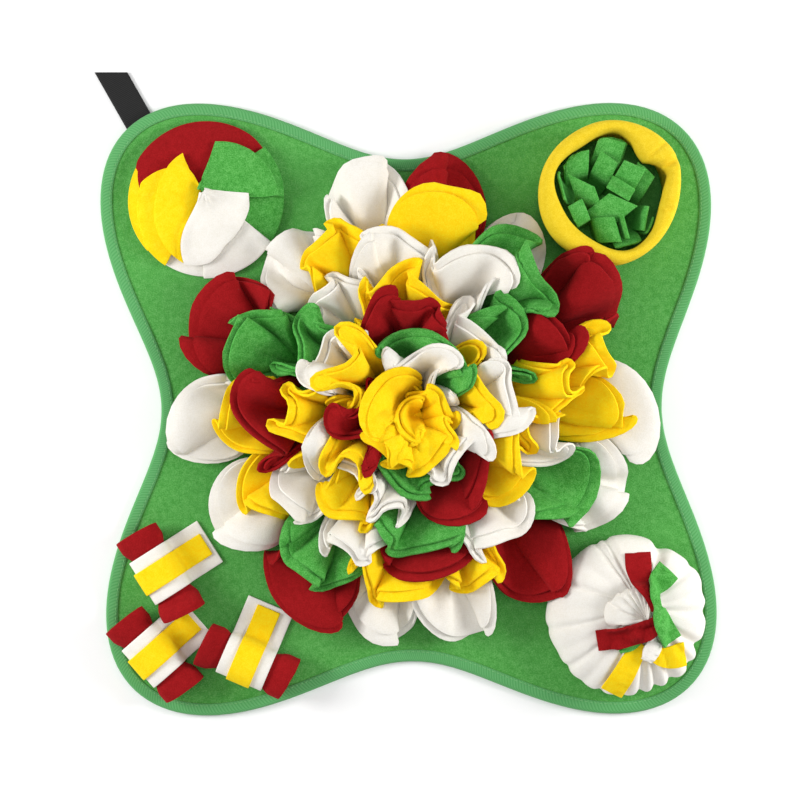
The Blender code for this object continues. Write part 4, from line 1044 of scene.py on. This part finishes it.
def onto_profile(row, profile, along, across, raised):
    """Points along and across a petal, and above it, placed on its profile over the mat."""
    root, length, slope, run, climb = profile
    bearing = math.radians(row[2])
    share = np.clip(along / length, 0.0, PROFILE_OVERRUN)
    stations = np.linspace(0.0, 1.0, STATIONS)
    pitch = np.interp(share, stations, slope)
    radius = root + length * np.interp(share, stations, run) - raised * np.sin(pitch)
    foot = MAT_TOP + 2.0 * SEAT_GAP + FLEECE / 2 * math.cos(slope[0])
    level = foot + length * np.interp(share, stations, climb) + raised * np.cos(pitch)
    if row[0][0] == "F":
        x = ROSETTE_CENTRE[0] + radius * math.cos(bearing) - across * math.sin(bearing)
        y = ROSETTE_CENTRE[1] + radius * math.sin(bearing) + across * math.cos(bearing)
    else:
        angle = bearing + across / radius
        x = radius * np.cos(angle)
        y = radius * np.sin(angle)
    return np.stack([x, y, level], axis=-1)


def petal_surface(row, rows, columns):
    """The middle surface of one gathered petal, from its sewn root to its rim."""
    name, _, bearing, reach, width, _, ruffle, phase, cup, _ = row
    ring = RINGS[name[0]]
    root = ring["root"] + ROOT_FOLLOWS * (reach - ring["reach"])
    side, out = shares(rows, columns)

    # A disc pinched at its root: the rim is most of an ellipse, and lines run to it from the root
    slope = np.radians(np.linspace(ring["rise"], ring["fall"], STATIONS))
    half_step = 0.5 / (STATIONS - 1)
    run = np.concatenate([[0.0], np.cumsum(np.cos(slope[1:]) + np.cos(slope[:-1]))]) * half_step
    climb = np.concatenate([[0.0], np.cumsum(np.sin(slope[1:]) + np.sin(slope[:-1]))]) * half_step
    length = (reach - root) / run[-1]
    rim_across = width / 2 * np.sin(side * RIM_SPREAD)
    rim_along = length - RIM_HALF_LENGTH * length * (1.0 - np.cos(side * RIM_SPREAD))
    across = (1 - out) * side * ring["root_width"] / 2 + out * rim_across
    seed = math.radians(phase + bearing)
    along = out * rim_along * (1.0 + RIM_UNEVEN * out * np.sin(2.2 * side + 5 * seed))

    # Its sides curl up, or down where cup is negative
    curl = math.radians(CURL[0] + CURL[1] * abs(cup))
    turned = curl * np.clip(across / (width / 2), -1.1, 1.1)
    rise = (1 - np.cos(turned)) / (1 - math.cos(curl)) - CURL_MIDDLE
    raised = CURL_RISE * cup * out ** 0.5 * rise
    across = width / 2 * np.sin(turned) / math.sin(min(curl, math.pi / 2))
    plain = onto_profile(row, (root, length, slope, run, climb), along, across, raised)

    # Ruffles grow towards the rim: rounded crests that overhang the valleys between them
    wave = ruffle_wave(row, side) + RUFFLE_BEND * (1 - out) * np.sin(2.0 * side + seed)
    ends = 1.0 - CALM_ENDS * np.abs(side) ** 6
    grown = 1.0 - (1.0 - out) ** RUFFLE_GROWS
    depth = ruffle * ends * grown * (1.0 + RUFFLE_SWELL * np.sin(1.7 * side + 2.0 * seed))
    fading = out ** 1.2 * (1 - 0.8 * out)
    crease = RUFFLE_CREASE * ruffle * fading * np.sin(2.3 * wave + 2 * seed)
    height = depth * np.sin(wave) + crease
    tip = math.copysign(LEAN_ONE_WAY, math.sin(12.9 * bearing)) * np.sin(wave)
    lean = ends * out ** LEAN_GROWS * (LEAN_OVER * np.sin(2 * wave) + WIDE_CRESTS * np.cos(wave) + tip)
    sideways = np.gradient(plain, axis=1) / np.gradient(wave + 0.0 * out, axis=1)[..., None]
    return plain + normals(plain) * height[..., None] - sideways * lean[..., None]


def inner_fold(row, grid):
    """The upper layer of a petal, from the grid of the lower one."""
    rows, columns, _ = grid.shape
    side, out = shares(rows, columns)
    wander = np.sin(2.6 * side + row[2])
    upward = normals(grid)
    opens = (FOLD_OPENS * (1.0 + wander) * out ** 3)[..., None]
    raised = grid + upward * FOLD_STEP + upward.mean(axis=1, keepdims=True) * opens
    along = out * (FOLD_REACH[0] + FOLD_REACH[1] * wander) * (rows - 1)
    across = (FOLD_WIDTH * side + 1.0) / 2 * (columns - 1) + 0.0 * out
    low = np.minimum(along.astype(int), rows - 2)
    left = np.minimum(across.astype(int), columns - 2)
    along = (along - low)[..., None]
    across = (across - left)[..., None]
    near = raised[low, left] * (1 - across) + raised[low, left + 1] * across
    far = raised[low + 1, left] * (1 - across) + raised[low + 1, left + 1] * across
    return near * (1 - along) + far * along


def gathers(row, rows, columns):
    """How far the ridges from a petal's gathered root stand above it."""
    side, out = shares(rows, columns)
    seed = math.radians(7.0 * row[2] + row[7])
    turn = GATHERS * ruffle_wave(row, side) + 1.4 * np.sin(2.3 * side + seed) + 0.9 * out * math.sin(seed)
    ridge = ((1.0 + np.sin(turn)) / 2) ** GATHER_NARROW
    uneven = GATHER_UNEVEN[0] + GATHER_UNEVEN[1] * np.sin(3.1 * side + 2.0 * seed)
    height = GATHER_HEIGHT * min(1.0, row[3] / GATHER_REACH)
    return height * ridge * uneven * smoothstep(0.0, GATHER_ROOT, out) * (1.0 - GATHER_FADES * out ** 2)


def sagged(grid):
    """The crown of the flower sits a little lower than its petals would stack."""
    lower = grid.copy()
    lower[..., 2] -= (1 - CROWN_SHARE) * np.maximum(grid[..., 2] - CROWN, 0.0)
    return lower


def build_flower(heap):
    """Petals ring by ring from the outside in, each with its inner fold, laid over those below."""
    for row in PETALS:
        columns = int(PETAL_COLUMNS[0] + PETAL_COLUMNS[1] * row[5])
        slot = f"fleece_{row[1]}"
        grid = drape(petal_surface(row, PETAL_ROWS, columns), heap, FLEECE, soften=SOFTEN)
        grid = grid + normals(grid) * gathers(row, PETAL_ROWS, columns)[..., None]
        heap.add(grid, FLEECE)
        petal = add_sheet(f"petal_{row[0]}_fleece", sagged(grid), FLEECE, slot)
        if row[-1]:
            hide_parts(f"petal_{row[0]}_{row[1]}")
        grid = inner_fold(row, grid)
        heap.add(grid, FLEECE)
        add_sheet(f"fold_{row[0]}_fleece", sagged(grid), FLEECE, slot)


def smooth_edge(edge, count):
    """Bearings and radii along a flap's outer edge, with its corners kept but softened."""
    edge = np.array(edge, dtype=float)
    steps = np.linspace(0, len(edge) - 1, count)
    bearing = np.interp(steps, range(len(edge)), edge[:, 0])
    radius = np.interp(steps, range(len(edge)), edge[:, 1])
    soft = np.convolve(np.pad(radius, 2, mode="edge"), (0.1, 0.2, 0.4, 0.2, 0.1), mode="valid")
    return bearing, soft


def flap_surface(inner_share, first_bow, last_bow, bulge, tucked, edge):
    """The middle surface of a flap before it is draped, from its outer edge to where all meet."""
    bearing, radius = smooth_edge(edge, FLAP_COLUMNS)
    radius = radius * np.where(radius > FLAP_OVERHANG[0], FLAP_OVERHANG[1], 1.0)
    angle = np.radians(bearing)
    point = FLAPS_MEET - polar(FLAP_TUCK if tucked else 0.0, np.radians(bearing.mean()))
    out = np.linspace(1.0, inner_share, FLAP_ROWS)[:, None]
    side = np.linspace(0.0, 1.0, FLAP_COLUMNS)[None, :]
    plan = point + (polar(radius, angle) - point) * out[..., None]
    bow = np.radians(first_bow * (1 - side) + last_bow * side) * np.sin(math.pi * out)
    x = plan[..., 0] * np.cos(bow) - plan[..., 1] * np.sin(bow)
    y = plan[..., 0] * np.sin(bow) + plan[..., 1] * np.cos(bow)
    dome = FLAP_DOME * (1 - (x ** 2 + y ** 2) / FLAP_DISC_RADIUS ** 2)
    dome = np.maximum(dome, 0.0) + bulge * np.sin(math.pi * side) ** 0.6 * np.sin(math.pi * out) ** 0.7
    wrinkle, across, along = FLAP_WRINKLE
    dome = dome + wrinkle * np.sin(across * side + along * out + bearing[0])
    level = ON_MAT + FLEECE + SEAT_GAP + FLEECE / 2 + dome
    return np.stack([FLAP_DISC_CENTRE[0] + x, FLAP_DISC_CENTRE[1] + y, level], axis=-1)


def build_flap_disc(heap):
    """A white base disc with overlapping flaps sewn round its rim."""
    add_disc("disc_base", "flap_disc", "fleece_white", FLAP_DISC_CENTRE, FLAP_DISC_RADIUS,
             FLAP_DISC_SECTION, FLAP_DISC_STEPS)
    for share in np.linspace(0.05, 1.0, 40):
        radius = FLAP_DISC_RADIUS * share
        ring = ring_at(FLAP_DISC_CENTRE, radius, turns_of(FLAP_DISC_STEPS), 0.0)
        heap.raise_to(ring[:, 0], ring[:, 1], ON_MAT + FLEECE)
    for name, colour, inner_share, first_bow, last_bow, bulge, tucked, has_node, edge in FLAPS:
        grid = flap_surface(inner_share, first_bow, last_bow, bulge, tucked, edge)
        grid = drape_finely(grid, heap, FLAP_MARGIN)
        flap = add_sheet(f"flap_{name}_fleece", grid, FLEECE, f"fleece_{colour}")
        if has_node:
            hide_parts(f"flap_{name}")


def build_cup(heap):
    """A fleece cup whose rim is turned over into a thick soft cuff."""
    bearings = np.arange(CUP_STEPS) * 360.0 / CUP_STEPS
    outer = round_table(bearings, CUP_RIM)
    inner = round_table(bearings, CUFF_INNER)
    crease = sum_of_bumps(bearings, CUFF_CREASES)
    foot_outer = blend(CUP_FOOT_RADIUS, outer, CUP_FOOT_FOLLOWS)
    foot_inner = foot_outer - CUP_WALL
    section = [(foot_outer, ON_MAT)]
    section += [(blend(foot_outer, outer, out), up * CUP_HEIGHT) for out, up in CUP_OUTSIDE]
    for turn in np.radians(np.linspace(0.0, 180.0, CUFF_TURNS)):
        bulge = np.sign(np.cos(turn)) * abs(math.cos(turn)) ** CUFF_ROUNDING[0]
        level = blend(CUFF_LOW, 1.0, math.sin(turn) ** CUFF_ROUNDING[1]) * CUP_HEIGHT
        section.append(((outer + inner) / 2 + (outer - inner) / 2 * bulge,
                        level - crease * math.sin(turn)))
    section += [(blend(foot_inner, inner, out), up * CUP_HEIGHT) for out, up in CUP_INSIDE]
    section += [(foot_inner, ON_MAT)]
    angle = np.radians(bearings)
    rings = np.array([ring_at(CUP_CENTRE, radius, angle, level) for radius, level in section])
    # the cup's finish is the yellow fleece darkened all over: painted shade
    cup = add_tube("cup_cuff", rings, "fleece_yellow", finish=FINISHES["fleece_yellow_painted_shade"])
    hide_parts("cup")
    heap.add_rings(rings)


def build_cup_strips():
    """Green fleece strips that rise from one round backing and bend over at their tips."""
    add_disc("strip_backing", "cup_strips", "fleece_green", CUP_CENTRE, STRIP_BACKING_RADIUS,
             STRIP_BACKING_SECTION, STRIP_BACKING_STEPS)
    for index, (tip_x, tip_y, bend_x, bend_y, edge, width, level, bend_level) in enumerate(STRIPS):
        tip, bend = np.array([tip_x, tip_y]), np.array([bend_x, bend_y])
        root = bend - STRIP_LEAN * (tip - bend)
        root *= min(1.0, STRIP_ROOT_REACH / np.hypot(*root))
        path = through((
            (*root, ON_MAT + FLEECE / 2),
            (*blend(root, bend, STRIP_STALK[0]), STRIP_STALK[1] * bend_level),
            (*bend, bend_level),
            (*blend(bend, tip, STRIP_NOSE[0]), blend(bend_level, level, STRIP_NOSE[1])),
            (*tip, level)), STRIP_STEPS + 1)
        side = np.array([math.cos(math.radians(edge)), math.sin(math.radians(edge)), 0.0])
        across = np.linspace(-0.5, 0.5, STRIP_COLUMNS)[None, :, None]
        grid = path[:, None, :] + side * width * across
        share = np.linspace(0.0, 1.0, STRIP_STEPS + 1)[:, None]
        grid[..., 2] += STRIP_CURVE * width * (1 - (2 * across[..., 0]) ** 2) * np.sin(math.pi * share)
        away = np.hypot(grid[..., 0], grid[..., 1])
        turn = np.degrees(np.arctan2(grid[..., 1], grid[..., 0]))
        limit = round_table(turn, CUFF_INNER) - STRIP_WALL_GAP
        grid[..., :2] *= np.minimum(1.0, limit / np.maximum(away, 0.01))[..., None]
        grid[..., :2] += CUP_CENTRE
        add_sheet(f"strip_{index + 1}", grid, FLEECE, "fleece_green",
                  (width, line_length(path)))


def oval(half_width, half_height, angles):
    """A soft oval section, squarer than an ellipse."""
    cosine, sine = np.cos(angles), np.sin(angles)
    return (half_width * np.sign(cosine) * np.abs(cosine) ** OVAL_POWER,
            half_height * np.sign(sine) * np.abs(sine) ** OVAL_POWER)


def wind_roll(name, place, lift_first, lift_second):
    """A red fleece roll, narrower where the band squeezes it, with one or both ends lifted."""
    half = ROLL_LENGTH / 2
    band = BAND_WIDTH * BAND_SHARE / 2
    turns = np.linspace(0.0, 2 * math.pi * ROLL_TURNS, int(ROLL_STEPS * ROLL_TURNS) + 1) - ROLL_START
    sink = FLEECE / 2 + ROLL_PITCH * np.linspace(0.0, ROLL_TURNS, len(turns))
    columns = []
    for share in np.linspace(-1.0, 1.0, ROLL_STATIONS):
        along = half * share
        free = smoothstep(band - ROLL_SWELLS[0], band + ROLL_SWELLS[1], abs(along))
        scale = ROLL_WAIST + (1.0 - ROLL_WAIST) * free
        pack = sink * (ROLL_PACKED + (1.0 - ROLL_PACKED) * free)
        plump = 1.0 + (ROLL_PLUMP - 1.0) * free
        across, level = oval(1.0, 1.0, turns)
        across = across * np.maximum(ROLL_HALF_WIDTH * scale * plump - pack, ROLL_CORE[0])
        level = level * np.maximum(ROLL_HALF_HEIGHT * scale - pack, ROLL_CORE[1])
        level = ON_MAT + ROLL_HALF_LOW + np.maximum(level, -ROLL_HALF_LOW + pack)
        lifted = smoothstep(band + ROLL_LIFTS[0], half - ROLL_LIFTS[1], abs(along))
        lift = (lift_first if along < 0 else lift_second) * lifted
        slant = (ROLL_SLANT[0] * along * np.sin(turns)
                 + (ROLL_SLANT[1] * abs(along) + ROLL_SLANT[2] * along) * np.cos(turns))
        columns.append(place(along + slant, across, level + lift))
    grid = np.stack(columns, axis=1)
    red = add_sheet(f"{name}_wound", grid, FLEECE, "fleece_red",
                    (ROLL_LENGTH, cloth_area(grid) / MM ** 2 / ROLL_LENGTH))
    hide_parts(f"{name}_red")
    return red


def lay_band(name, place, red, tail, colour, thickness, offset, width, far_end):
    """A band or stripe over a roll: from its flat tail, up over the roll and down behind it."""
    low = ON_MAT - 2 * SEAT_GAP + offset
    side = ROLL_HALF_WIDTH * ROLL_WAIST + offset
    centre = ON_MAT + ROLL_HALF_LOW
    turns = np.radians(np.linspace(0.0, 180.0, BAND_STEPS))
    across, level = oval(side, ROLL_HALF_LOW + offset, turns)
    bend = side + TAIL_BEND[0][0]
    path = [(blend(tail, bend, share), low) for share in np.linspace(0.0, 1.0, TAIL_STEPS)[:-1]]
    path += [(side + off, low + up) for off, up in TAIL_BEND]
    path += list(zip(across, centre + level))
    path += [(-side, down) for down in np.linspace(centre, ON_MAT + far_end, FAR_STEPS)[1:]]
    path = np.array(path)
    columns = []
    for share in np.linspace(-0.5, 0.5, BAND_COLUMNS):
        columns.append(place(np.full(len(path), share * width), path[:, 0], path[:, 1]))
    grid = np.stack(columns, axis=1)
    cloth = add_sheet(f"{name}_fleece", grid, thickness, f"fleece_{colour}",
                      (width, line_length(path)))
    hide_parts(name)
    return grid


def build_roll(heap, name, middle_x, middle_y, bearing, tail, lift_first, lift_second):
    """A red fleece roll held down by a white band with a flat tail and a yellow stripe."""
    angle = math.radians(bearing)
    axis = np.array([math.cos(angle), math.sin(angle)])

    def place(along, across, level):
        """Points along the roll and across it, towards its tail, as points on the mat."""
        plan = (middle_x, middle_y) + np.outer(along, axis) + np.outer(across, left_of(axis))
        return np.column_stack([plan, level])

    red = wind_roll(name, place, lift_first, lift_second)
    for part, shorter, colour, thickness, *shape in BANDS:
        grid = lay_band(f"{name}_{part}", place, red, tail - shorter, colour, thickness, *shape)
        heap.add(grid, thickness)


def lay_ties(heap, ties):
    """Flat fleece ties along their lines, draped over the pouch and over each other."""
    for name, node, colour, path in ties:
        line = through(path, TIE_STEPS)
        side = left_of(np.gradient(line[:, :2], axis=0))
        side /= np.linalg.norm(side, axis=1, keepdims=True)
        columns = []
        for share in np.linspace(-0.5, 0.5, TIE_COLUMNS):
            plan = line[:, :2] + side * (line[:, 2] * share)[:, None]
            columns.append(np.column_stack([plan, np.full(len(line), ON_MAT)]))
        grid = drape_finely(np.stack(columns, axis=1), heap, TIE_MARGIN)
        tie = add_sheet(name, grid, FLEECE, f"fleece_{colour}")
        if node:
            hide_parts(node)


def build_frill(heap):
    """The pouch's mouth past the knot, fanned out flat and finely ruffled."""
    share = np.linspace(0.0, 1.0, FRILL_COLUMNS)
    edge = through(FRILL, FRILL_COLUMNS)
    out = np.linspace(FRILL_START, 1.0, FRILL_ROWS)[:, None]
    bearing = np.radians(edge[:, 0])[None, :]
    wave = np.sin(2 * math.pi * FRILL_RUFFLES * share ** 1.7 + 0.6 * np.sin(11.0 * share))[None, :]
    turned = bearing + FRILL_SWAY * wave * out ** 1.5
    reach = edge[None, :, 1] * out
    level = (ON_MAT + FRILL_LEVEL + FRILL_ARCH * np.sin(math.pi * out) ** 0.8
             + FRILL_DEPTH * wave * (FRILL_DEPTH_START + (1 - FRILL_DEPTH_START) * out))
    grid = np.concatenate([FRILL_KNOT + polar(reach, turned), level[..., None]], axis=-1)
    grid = drape_finely(grid, heap, TIE_MARGIN)
    add_sheet("pouch_frill", grid, FLEECE, "fleece_white")


def build_pouch(heap):
    """A filled pouch, pleated into a gathered neck that flares into a small frill."""
    bearings = np.arange(POUCH_STEPS) * 360.0 / POUCH_STEPS
    angle = np.radians(bearings)
    outline = round_table(bearings, POUCH_OUTLINE)
    valleys = sum_of_bumps(bearings, PLEATS)
    rings = []
    for share, level, depth, moved in through(POUCH_PROFILE, POUCH_RINGS):
        body = smoothstep(0.25, 0.36, share)
        radius = (share * (outline * body + POUCH_NECK_RADIUS * (1 - body))
                  - depth * valleys * (PLEATS_AT_NECK + (1 - PLEATS_AT_NECK) * body))
        centre = blend(np.array(POUCH_CENTRE), np.array(POUCH_NECK), moved)
        sunk = PLEATS_SINK[0] * depth * valleys * smoothstep(*PLEATS_SINK[1:], level) * body
        rings.append(ring_at(centre, radius, angle, ON_MAT + level - sunk))
    rings = np.array(rings)
    pouch = add_dome("pouch_bag", rings, "fleece_white")
    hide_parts("pouch")
    heap.add_rings(rings)
    lay_ties(heap, TIES_UNDER_FRILL)
    build_frill(heap)
    lay_ties(heap, TIES_OVER_FRILL)


mat_bearings = np.arange(EDGE_STEPS) * 360.0 / EDGE_STEPS
build_pad(mat_bearings)
build_tape(mat_bearings)
build_strap()
laid = Heap(MAT_TOP)
for roll in ROLLS:
    build_roll(laid, *roll)
build_cup(laid)
build_cup_strips()
build_flap_disc(laid)
build_pouch(laid)
build_flower(laid)


WORLD_LIGHT = 0.49
CAMERA_HEIGHT = 1.3
CAMERA_HALF_VIEW = 0.329  # half of the width it sees at the floor
CAMERA_SENSOR = 36.0
LIGHTS = (
    # name, place in metres, power in watts
    ("left", (-1.2, 0.15, 0.62), 12.0),
    ("right", (1.2, 0.15, 0.62), 12.0),
    ("above", (0.0, 0.2, 1.6), 2.5),
)
LIGHT_SIZE = 0.5


def add_light(name, place, power):
    """A soft square light aimed at the middle of the mat."""
    lamp = bpy.data.lights.new(name, "AREA")
    lamp.energy = power
    lamp.size = LIGHT_SIZE
    holder = bpy.data.objects.new(name, lamp)
    bpy.context.scene.collection.objects.link(holder)
    holder.location = place
    holder.rotation_euler = (-Vector(place)).to_track_quat("-Z", "Y").to_euler()


scene = bpy.context.scene
world = bpy.data.worlds.new("studio")
scene.world = world
world.use_nodes = True
background = world.node_tree.nodes["Background"]
background.inputs["Color"].default_value = (1.0, 1.0, 1.0, 1.0)
background.inputs["Strength"].default_value = WORLD_LIGHT
for light in LIGHTS:
    add_light(*light)

bpy.ops.mesh.primitive_plane_add(size=4.0, location=(0.0, 0.0, -0.0005))
floor = bpy.context.object
floor.name = "floor"
floor.data.materials.append(plain("floor", "ffffff", 1.0))

camera = bpy.data.cameras.new("camera")
camera.sensor_width = CAMERA_SENSOR
camera.lens = CAMERA_SENSOR / 2 / (CAMERA_HALF_VIEW / CAMERA_HEIGHT)
holder = bpy.data.objects.new("camera", camera)
scene.collection.objects.link(holder)
holder.location = (-0.0058, 0.0066, CAMERA_HEIGHT)
scene.camera = holder
scene.view_settings.view_transform = "Standard"
